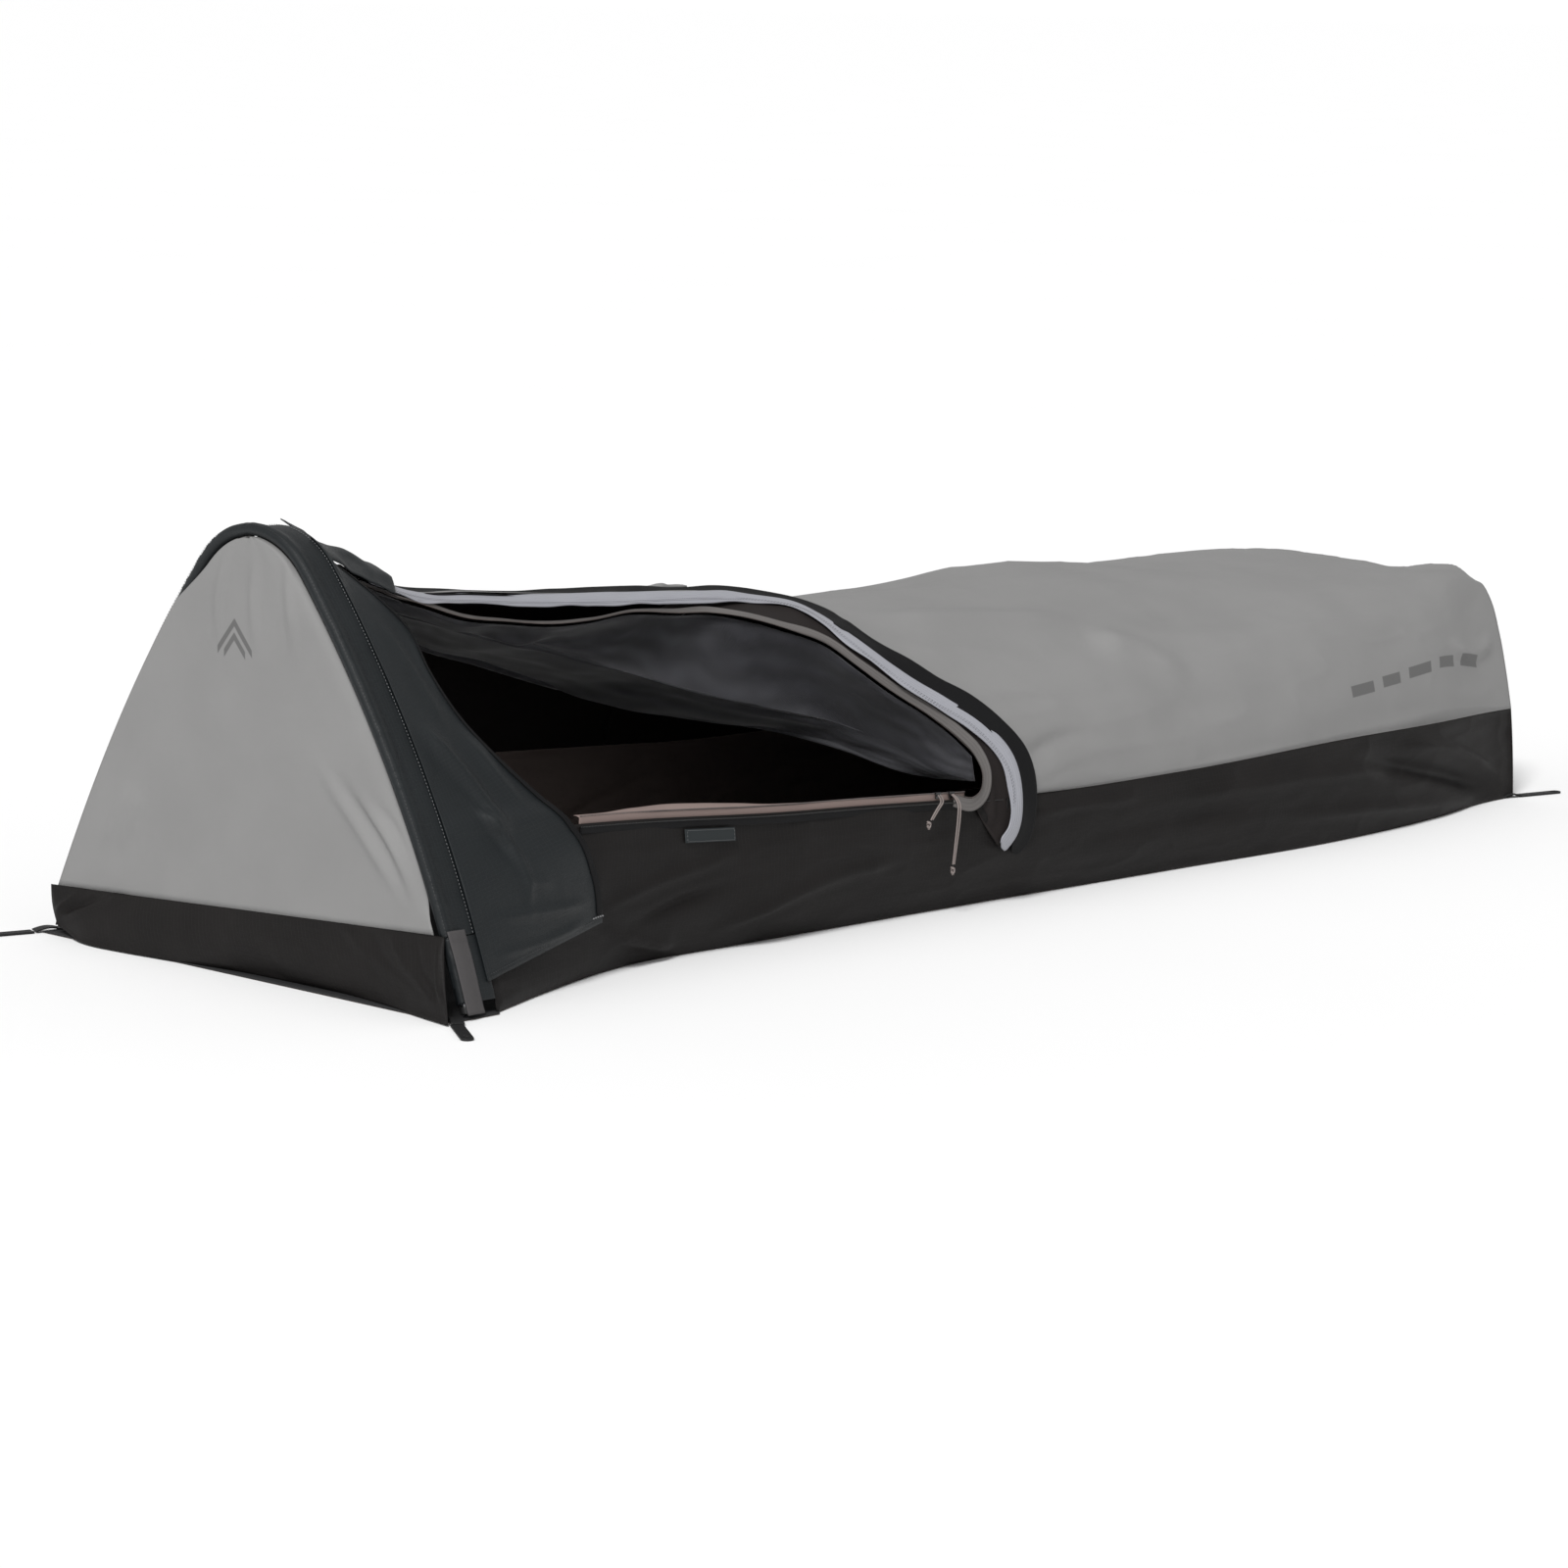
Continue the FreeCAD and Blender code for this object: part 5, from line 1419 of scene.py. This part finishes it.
@dataclass
class Door:
    """The open door: edge tapes along the ridge and down the arch, the slack door and the mesh."""
    form: Form
    finishes: Finishes
    rig: Rig
    silver_half: float = 0.0118
    front_share: float = 0.55
    bottom_share: float = 0.25
    back_share: float = 0.20
    edge: tuple = ((0.150, -0.014, 0.441, 26), (0.226, -0.013, 0.4165, 27),
                   (0.335, -0.012, 0.4025, 30), (0.497, -0.012, 0.3885, 34), (0.614, -0.012, 0.3815, 34),
                   (0.717, -0.014, 0.3755, 30), (0.785, -0.022, 0.3690, 24), (0.822, -0.060, 0.361, 20),
                   (0.817, -0.126, 0.346, 28), (0.820, -0.160, 0.328, 38), (0.838, -0.207, 0.296, 50),
                   (0.878, -0.244, 0.260, 58), (0.923, -0.272, 0.229, 66), (0.946, -0.288, 0.203, 74),
                   (0.962, -0.301, 0.175, 82), (0.967, -0.309, 0.133, 90), (0.957, -0.312, 0.095, 94),
                   (0.934, -0.311, 0.076, 98))
    mesh_edge: tuple = ((0.12, -0.020, 0.444, 70, 0.2), (0.18, -0.021, 0.424, 72, 0.2),
                        (0.239, -0.021, 0.406, 74, 0.2), (0.296, -0.022, 0.388, 74, 0.2),
                        (0.375, -0.022, 0.376, 74, 0.2), (0.44, -0.022, 0.368, 74, 0.2),
                        (0.506, -0.022, 0.367, 74, 0.2), (0.572, -0.021, 0.371, 72, 0.2),
                        (0.657, -0.022, 0.364, 66, 0.35), (0.709, -0.030, 0.361, 50, 0.55),
                        (0.737, -0.060, 0.355, 30, 0.9), (0.764, -0.100, 0.344, 26, 1.0),
                        (0.795, -0.144, 0.3275, 34, 1.0), (0.809, -0.184, 0.3030, 46, 1.0),
                        (0.834, -0.219, 0.2740, 56, 1.0), (0.870, -0.246, 0.246, 64, 1.0),
                        (0.902, -0.269, 0.216, 72, 1.0), (0.919, -0.283, 0.194, 80, 1.0),
                        (0.924, -0.294, 0.169, 88, 1.0), (0.914, -0.300, 0.146, 92, 1.0),
                        (0.890, -0.302, 0.1345, 92, 1.0), (0.862, -0.2965, 0.141, 90, 0.9))

    def silver(self) -> Ribbon:
        """The pale zip tape on the door's free edge."""
        return Ribbon("fly_zip_tape_pale", self.form, self.edge, -self.silver_half, self.silver_half, 0.0025,
                      along=420, across=15, wave=0.0030, wave_length=0.05, curl=-0.0012,
                      end_round=0.010, start_round=0.006, seed=6)

    def tapes(self) -> None:
        """The pale tape, the black storm flap beyond it and the brown mesh tape inside it."""
        silver = self.silver()
        made = silver.build([self.finishes.silver])
        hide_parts("fly_zip_tape")
        self.rig.hang(made)
        rim = silver.edge(-self.silver_half + 0.002, -0.001)
        curve = even_curve(self.edge, len(rim))
        lean = np.where(curve[:, 0] < 0.76, -12.0, curve[:, 3])
        lean = np.where((curve[:, 0] < 0.83) & (curve[:, 1] > -0.10), 10.0, lean)
        line = np.concatenate([rim, lean[:, None]], axis=1)[::6]
        flap = Ribbon("storm_flap_black", self.form, tuple(map(tuple, line)), -0.028, 0.002, 0.0005, 0.0016,
                      along=420, across=12, wave=0.0026, wave_length=0.085, curl=0.001,
                      end_round=0.030, seed=9)
        ridge_end = Ribbon("ridge_end_cover", self.form,
                           ((0.047, -0.018, 0.4965, 22), (0.068, -0.018, 0.4845, 24),
                            (0.100, -0.018, 0.469, 24), (0.135, -0.016, 0.4555, 24),
                            (0.170, -0.016, 0.4385, 26), (0.192, -0.016, 0.4290, 28)),
                           -0.045, 0.019, 0.0050, 0.0014, along=60, across=14, wave=0.0045, wave_length=0.03,
                           curl=-0.0035, end_round=0.012, seed=19)
        made = ridge_end.build([self.finishes.ripstop])
        self.rig.hang(made)
        made = flap.build([self.finishes.binding])
        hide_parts("storm_flap")
        self.rig.hang(made)
        tape = Ribbon("mesh_zip_tape_brown", self.form, self.mesh_edge, -0.0078, 0.0078, 0.0015, along=420,
                      across=9, wave=0.0015, wave_length=0.05, curl=0.0012, seed=12)
        made = tape.build([self.finishes.brown_tape])
        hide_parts("mesh_zip_tape")
        self.rig.hang(made)
        wide = tape.width_share[:, None]
        line, side, out = tape.frame()
        line = line + side * 0.0080 * wide + out * 0.0022
        teeth = Stitches("mesh_zip_teeth", self.form, line, 0.0021, 0.0015, 0.0022)
        made = teeth.build(self.finishes.coil)
        self.rig.hang(made)
        for name, across in (("silver_stitches_a", 0.0062), ("silver_stitches_b", 0.0090)):
            row = Stitches(name, self.form, silver.edge(across, 0.0034), 0.0040, 0.0028, 0.0006)
            made = row.build(self.finishes.dark_thread)
            self.rig.hang(made)

    def edge_cloth(self) -> None:
        """The strip of the door's inside face between the pale tape and the mesh tape, dark with the painted
        shade of the sack's inside.
        """
        outer = even_curve(self.edge, 420)
        inner = even_curve(self.mesh_edge, 420)
        a0, b0 = int(np.argmax(outer[:, 0] > 0.66)), int(np.argmax(inner[:, 0] > 0.62))
        b1 = int(np.argmax((inner[:, 2] < 0.1352) & (inner[:, 0] > 0.88)))
        low, high = outer[a0:, :3], inner[b0:b1, :3]

        def shape(u: Array, v: Array) -> Array:
            """Places on the strip: u along the door's edge, v from the pale tape to the mesh tape."""
            a, b = along_curve(low, u), along_curve(high, u)
            hollow = 0.003 * np.sin(np.pi * v)
            return a * (1 - v[..., None]) + b * v[..., None] + hollow[..., None] * np.array([0.2, 0.7, -0.6])

        folds = (Fold(((0.93, -0.30, 0.17), (0.93, -0.305, 0.13), (0.92, -0.31, 0.09)), 0.006, 0.003),
                 Fold(((0.90, -0.30, 0.14), (0.92, -0.305, 0.11), (0.94, -0.31, 0.09)), 0.006, -0.003))
        made = Panel("door_edge_lining", self.form, shape, 120, 16, 0.0010, folds,
                     (Crumple(101, 0.03, 0.02, 0.0010),), 0.004).build([self.finishes.lining])
        self.rig.hang(made)

    def slack_door(self) -> None:
        """The unzipped door, thrown over the ridge and lying in folds on the far side."""
        lengths = (0.0, 0.22, 0.10, 0.085)
        total = sum(lengths)

        def shape(u: Array, v: Array) -> Array:
            """Places on the folded door: u towards the foot, v through its three folds."""
            x = 0.125 + 0.665 * u
            reach = 0.80 + 0.20 * np.sin(np.pi * u)
            w = v * total
            out = np.interp(w, (0.0, 0.22, 0.32, 0.405), (-0.002, 0.205, 0.112, 0.190)) * reach
            lift = np.interp(w, (0.0, 0.03, 0.19, 0.215, 0.235, 0.305, 0.32, 0.335, 0.405),
                             (0.0045, 0.0035, 0.004, 0.006, 0.0125, 0.0125, 0.016, 0.0195, 0.0195))
            slope_z = self.form.cover_height(x, out)
            return np.stack([x, out, slope_z + lift * (1 + 0.4 * (out > 0.05))], axis=-1)

        folds = [Fold(((0.2 + 0.13 * k, 0.02, 0.40), (0.23 + 0.13 * k, 0.10, 0.37),
                       (0.22 + 0.13 * k, 0.19, 0.3)), 0.012, 0.003) for k in range(5)]
        panel = Panel("slack_door_cloth", self.form, shape, 190, 90, 0.0009, tuple(folds),
                      (Crumple(111, 0.10, 0.05, 0.0012),), 0.01,
                      inner=lambda p: p - [0, 0.2, 1.0])
        made = panel.build([self.finishes.door, self.finishes.lining])
        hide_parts("fly_door")
        self.rig.hang(made)

    def mesh(self) -> None:
        """The mesh door, hanging in a deep swag from the ridge and the arch."""
        top = even_curve([p[:3] for p in self.mesh_edge[:18]], 200)
        fold = even_curve(((0.13, 0.02, 0.432), (0.20, 0.012, 0.402), (0.287, 0.0, 0.374),
                           (0.37, 0.01, 0.351), (0.458, 0.015, 0.332), (0.53, 0.008, 0.311),
                           (0.60, -0.005, 0.289), (0.68, -0.04, 0.262), (0.76, -0.08, 0.240),
                           (0.817, -0.13, 0.223), (0.862, -0.20, 0.195), (0.895, -0.268, 0.165),
                           (0.912, -0.288, 0.158)), 200)

        def shape(u: Array, v: Array) -> Array:
            """Places on the netting: u along its top, v down the front, under and up behind."""
            a, b = along_curve(top, u), along_curve(fold, u)
            a = a - np.stack([0.006 * ease(u, 0.6, 0.9), 0 * u - 0.002, 0 * u + 0.006], -1)
            belly = np.sin(np.pi * u)
            back = b + np.stack([-0.02 + 0 * u, 0.05 + 0.05 * belly, -0.030 * belly], -1)
            rise = b + np.stack([0 * u, 0 * u + 0.075, 0.4 * (a[..., 2] - b[..., 2])], -1)
            t = np.clip(v / self.front_share, 0, 1)[..., None]
            sag = (np.sin(np.pi * t[..., 0]) * 0.022 * belly)[..., None] * np.array([0.1, 1.0, -0.25])
            front = a * (1 - t) + b * t + sag
            s = np.clip((v - self.front_share) / self.bottom_share, 0, 1)[..., None]
            w = np.clip((v - (1 - self.back_share)) / self.back_share, 0, 1)[..., None]
            round_s = s * s * (3 - 2 * s)
            hind = b * (1 - round_s) + back * round_s
            hind = hind * (1 - w) + rise * w
            places = np.where(v[..., None] <= self.front_share, front, hind)
            roof = self.form.cover_height(places[..., 0], places[..., 1]) - 0.016
            places[..., 2] = np.where(places[..., 1] > 0.03, np.minimum(places[..., 2], roof), places[..., 2])
            return places

        folds = []
        for k in range(6):
            start = (0.13, -0.01, 0.432 - 0.004 * k)
            middle = (0.40 + 0.03 * k, 0.012 - 0.006 * k, 0.352 - 0.014 * k)
            end = (0.885, -0.255, 0.205 - 0.008 * k)
            bend = (0.68, -0.06, 0.290 - 0.012 * k)
            folds.append(Fold((start, middle, bend, end), 0.010, 0.0075 * (-1) ** k, 0.12))
        panel = Panel("mesh_door_netting", self.form, shape, 240, 96, 0.0005, tuple(folds),
                      (Crumple(121, 0.13, 0.03, 0.0045), Crumple(122, 0.04, 0.02, 0.0014)), 0.006,
                      inner=lambda p: p + [0, 1.0, -0.2])
        made = panel.build([self.finishes.netting])
        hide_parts("mesh_door")
        self.rig.hang(made)

    def build(self) -> None:
        """Makes the whole door."""
        self.tapes()
        self.edge_cloth()
        self.slack_door()
        self.mesh()


@dataclass
class Gusset:
    """The outer flap behind the sleeve on the near side, with the zip tape on its free edge."""
    form: Form
    finishes: Finishes
    rig: Rig
    above_sleeve: float = 0.0055
    above_wall: float = 0.0062
    hem: tuple = ((0.262, -0.293, 0.066), (0.252, -0.294, 0.120), (0.230, -0.291, 0.170),
                  (0.211, -0.272, 0.198), (0.182, -0.248, 0.232), (0.156, -0.226, 0.264),
                  (0.128, -0.200, 0.305), (0.110, -0.168, 0.356), (0.105, -0.138, 0.402),
                  (0.090, -0.112, 0.430), (0.074, -0.075, 0.458), (0.056, -0.030, 0.487))

    def shape(self, u: Array, v: Array) -> Array:
        """The flap from the sleeve's tail (u = 0) to its hem (u = 1), rising with v."""
        edge = along_curve(even_curve(self.hem, 120), v)
        z = 0.034 + (0.497 - 0.034) * v ** 0.96
        front_share = np.interp(z, *self.rise_table())
        front = self.form.hoop.skin(front_share, 0.038, self.above_sleeve)
        places = front * (1 - u[..., None]) + edge * u[..., None]
        wall = self.form.wall(np.maximum(places[..., 0], 0.048), np.minimum(places[..., 2], 0.185))
        wall = wall + self.above_wall
        under = places[..., 2] < 0.215
        push = np.where(under, wall - np.abs(places[..., 1]), 0.0) * (1 - ease(places[..., 2], 0.180, 0.215))
        places[..., 1] -= np.maximum(push, 0.0) * ease(u, 0.0, 0.10)
        return places

    def rise_table(self) -> tuple[Array, Array]:
        """Heights on the near leg and crown, and the share of the hoop at each."""
        share = np.linspace(0.0, 0.5, 400)
        return self.form.hoop.at(share)[1], share

    def build(self) -> None:
        """Makes the flap, its hem tape, its bottom seam and the bar tack at its corner."""
        folds = [Fold(((0.05, -0.20, 0.31), (0.10, -0.25, 0.24), (0.13, -0.29, 0.17)), 0.014, 0.006),
                 Fold(((0.06, -0.25, 0.25), (0.11, -0.28, 0.19), (0.135, -0.30, 0.12),
                       (0.12, -0.31, 0.08)), 0.008, 0.005),
                 Fold(((0.05, -0.29, 0.21), (0.09, -0.30, 0.17), (0.12, -0.31, 0.14),
                       (0.18, -0.30, 0.12)), 0.007, 0.005),
                 Fold(((0.06, -0.32, 0.10), (0.15, -0.31, 0.095), (0.25, -0.29, 0.092)), 0.007, 0.0035),
                 Fold(((0.05, -0.33, 0.06), (0.14, -0.32, 0.062), (0.25, -0.29, 0.074)), 0.005, 0.003),
                 Fold(((0.11, -0.20, 0.30), (0.16, -0.25, 0.21), (0.23, -0.29, 0.10)), 0.012, 0.005),
                 Fold(((0.17, -0.25, 0.22), (0.19, -0.28, 0.15), (0.19, -0.30, 0.09)), 0.008, 0.004),
                 Fold(((0.06, -0.12, 0.42), (0.08, -0.16, 0.36), (0.10, -0.21, 0.28)), 0.010, 0.004)]
        made = Panel("near_gusset_cloth", self.form, self.shape, 70, 150, 0.0012, tuple(folds),
                     (Crumple(131, 0.06, 0.05, 0.0012), Crumple(132, 0.022, 0.03, 0.0006)), 0.006)
        piece = made.build([self.finishes.ripstop, self.finishes.lining])
        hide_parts("near_gusset")
        self.rig.hang(piece)
        v = np.linspace(0.02, 0.97, 120)

        def tape(a: Array, b: Array) -> Array:
            """Places on the zip tape inside the hem: a up the hem, b across the tape."""
            return self.shape(0.955 + 0.040 * b, v[0] + (v[-1] - v[0]) * a) - [0, 0.0018, 0]

        strip = Panel("gusset_zip_tape_black", self.form, tape, 120, 5, 0.0009).build([self.finishes.binding])
        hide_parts("gusset_zip_tape")
        self.rig.hang(strip)
        u = np.linspace(0.02, 0.98, 60)
        base = self.shape(u, 0 * u + 0.012) - [0, 0.0016, 0]
        row = Stitches("gusset_base_stitches", self.form, base).build(self.finishes.dark_thread)
        self.rig.hang(row)
        tack = base[-1] + np.array([[-0.014, -0.001, 0.001], [-0.007, -0.001, 0.002], [0.004, -0.001, 0.003]])
        row = Stitches("gusset_bar_tack", self.form, tack, 0.0030, 0.0030, 0.0022).build(self.finishes.thread)
        self.rig.hang(row)


@dataclass
class WallZip:
    """The near wall's zip tapes, the sliders on them and the outer zip's pull."""
    form: Form
    finishes: Finishes
    rig: Rig

    def line(self, x0: float, x1: float, out: float, up: float, lean: float) -> tuple:
        """A line along the near wall's top, as points with their lean."""
        xs = np.linspace(x0, x1, 14)
        z = self.form.seam_height(xs)
        y = -through(xs, self.form.wall_x, self.form.seam) - out
        return tuple((float(a), float(b), float(c) + up, lean) for a, b, c in zip(xs, y, z))

    def build(self) -> None:
        """Makes the tapes and dresses the sliders."""
        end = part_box("wall_mesh_zip_tape")[1].x - self.form.hoop_x
        tape = Ribbon("wall_mesh_tape_brown", self.form, self.line(0.24, end, -0.0034, 0.0015, 90.0),
                      -0.0065, 0.0065, 0.0, 0.0010, along=200, across=7, wave=0.0006)
        made = tape.build([self.finishes.pink])
        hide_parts("wall_mesh_zip_tape")
        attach(made, "root")
        teeth = Stitches("wall_mesh_teeth", self.form, tape.edge(-0.0066, 0.0), 0.0021, 0.0015, 0.0024)
        made = teeth.build(self.finishes.coil)
        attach(made, "root")
        facing = Ribbon("wall_inside_facing", self.form,
                        tuple((x, y, z, 12.0, w) for x, y, z, w in
                              ((0.25, -0.262, 0.186, 0.3), (0.33, -0.262, 0.183, 0.7),
                               (0.43, -0.262, 0.177, 1.0), (0.54, -0.266, 0.1665, 1.0),
                               (0.64, -0.272, 0.158, 0.7), (0.74, -0.279, 0.150, 0.35),
                               (0.84, -0.286, 0.143, 0.2))), -0.016, 0.016, 0.0, 0.0009,
                        along=120, across=9, wave=0.0020, curl=-0.003, seed=15)
        made = facing.build([self.finishes.pink])
        self.rig.hang(made)
        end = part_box("wall_fly_zip_tape")[1].x - self.form.hoop_x
        tape = Ribbon("wall_fly_tape_black", self.form, self.line(0.235, end, 0.0040, -0.0072, 90.0),
                      -0.0044, 0.0044, 0.0, 0.0010, along=200, across=9, wave=0.0007)
        made = tape.build([self.finishes.binding])
        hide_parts("wall_fly_zip_tape")
        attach(made, "root")
        teeth = Stitches("wall_fly_teeth", self.form, tape.edge(-0.0040, 0.0006), 0.0023, 0.0016, 0.0020)
        made = teeth.build(self.finishes.plastic)
        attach(made, "root")
        dress(("mesh_slider_a", "mesh_slider_b", "fly_slider"), self.finishes.lacquer)
        dress(("fly_slider_pull",), self.finishes.plastic)


@dataclass
class Stakes:
    """The four webbing loops, each folded round its eye and bar-tacked at its root."""
    form: Form
    finishes: Finishes
    half_width: float = 0.0075
    sewn_in: float = 0.026
    corners: dict = field(default_factory=lambda: {
        "near_head": (-0.0263, -0.360, 236.0), "far_head": (-0.0263, 0.360, 163.0),
        "near_foot": (2.130, -0.249, 345.0), "far_foot": (2.130, 0.249, 18.0)})

    def build(self) -> None:
        """Makes the four loops."""
        for name in ("near_head", "far_head", "near_foot", "far_foot"):
            node = f"{name}_stake_loop"
            source = bpy.data.objects[node]
            bm = bmesh.new()
            bm.from_mesh(source.data)
            bmesh.ops.remove_doubles(bm, verts=bm.verts, dist=1e-6)
            bmesh.ops.dissolve_limit(bm, angle_limit=0.01, verts=bm.verts, edges=bm.edges)
            rim = [e for e in bm.edges if len(e.link_faces) == 2 and e.calc_face_angle(0.0) > 0.8
                   and abs(e.verts[0].co.z - e.verts[1].co.z) < 1e-5]
            bmesh.ops.bevel(bm, geom=rim, offset=0.0006, offset_type="OFFSET", segments=2, profile=0.5,
                            affect="EDGES", material=-1, clamp_overlap=True)
            bmesh.ops.triangulate(bm, faces=bm.faces)
            cut = bm.loops.layers.uv.new(CUT)
            for face in bm.faces:
                for loop in face.loops:
                    loop[cut].uv = (loop.vert.co.x, loop.vert.co.y)
            piece = as_object(f"{node}_webbing", bm, [self.finishes.webbing])
            for polygon in piece.data.polygons:
                polygon.use_smooth = False
            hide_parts(node)
            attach(piece, f"{name}_stake")
            self.anchor(name)

    def anchor(self, name: str) -> None:
        """The sewn-in root of one loop, from under the sack's corner to the loop."""
        x, y, heading = self.corners[name]
        ahead = np.array([math.cos(math.radians(heading)), math.sin(math.radians(heading)), 0.0])
        side = np.array([-ahead[1], ahead[0], 0.0])
        start = np.array([x, y, 0.0]) - ahead * self.sewn_in
        reach = self.sewn_in + self.half_width + 0.0008

        def shape(u: Array, v: Array) -> Array:
            """Places on the root: u towards the loop, v across the webbing."""
            place = start + ahead * (reach * u)[..., None] + side * ((2 * v - 1) * self.half_width)[..., None]
            place[..., 2] = 0.0030 + 0.0030 * np.sin(np.pi * u)
            return place

        made = Panel(f"{name}_loop_root", self.form, shape, 20, 9, 0.0018,
                     inner=lambda p: p - [0, 0, 1.0]).build([self.finishes.webbing])
        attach(made, "root")


def main() -> None:
    """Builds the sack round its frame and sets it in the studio."""
    logging.basicConfig(level=logging.INFO, format="%(name)s %(message)s")
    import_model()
    form = Form.from_frame()
    log.info("length %.3f, hoop %.3f high, %.3f half span",
             form.length, form.hoop.height, form.hoop.half_span)
    camera = Camera(form)
    camera.place()
    camera.light()
    finishes = Finishes()
    rig = Rig(form)
    Pulls(form, finishes).build()
    HoopEnd(form, finishes, rig).build()
    Tub(form, finishes, rig).build()
    Covers(form, finishes, rig).build()
    Door(form, finishes, rig).build()
    Gusset(form, finishes, rig).build()
    WallZip(form, finishes, rig).build()
    Stakes(form, finishes).build()


if __name__ == "__main__":
    main()
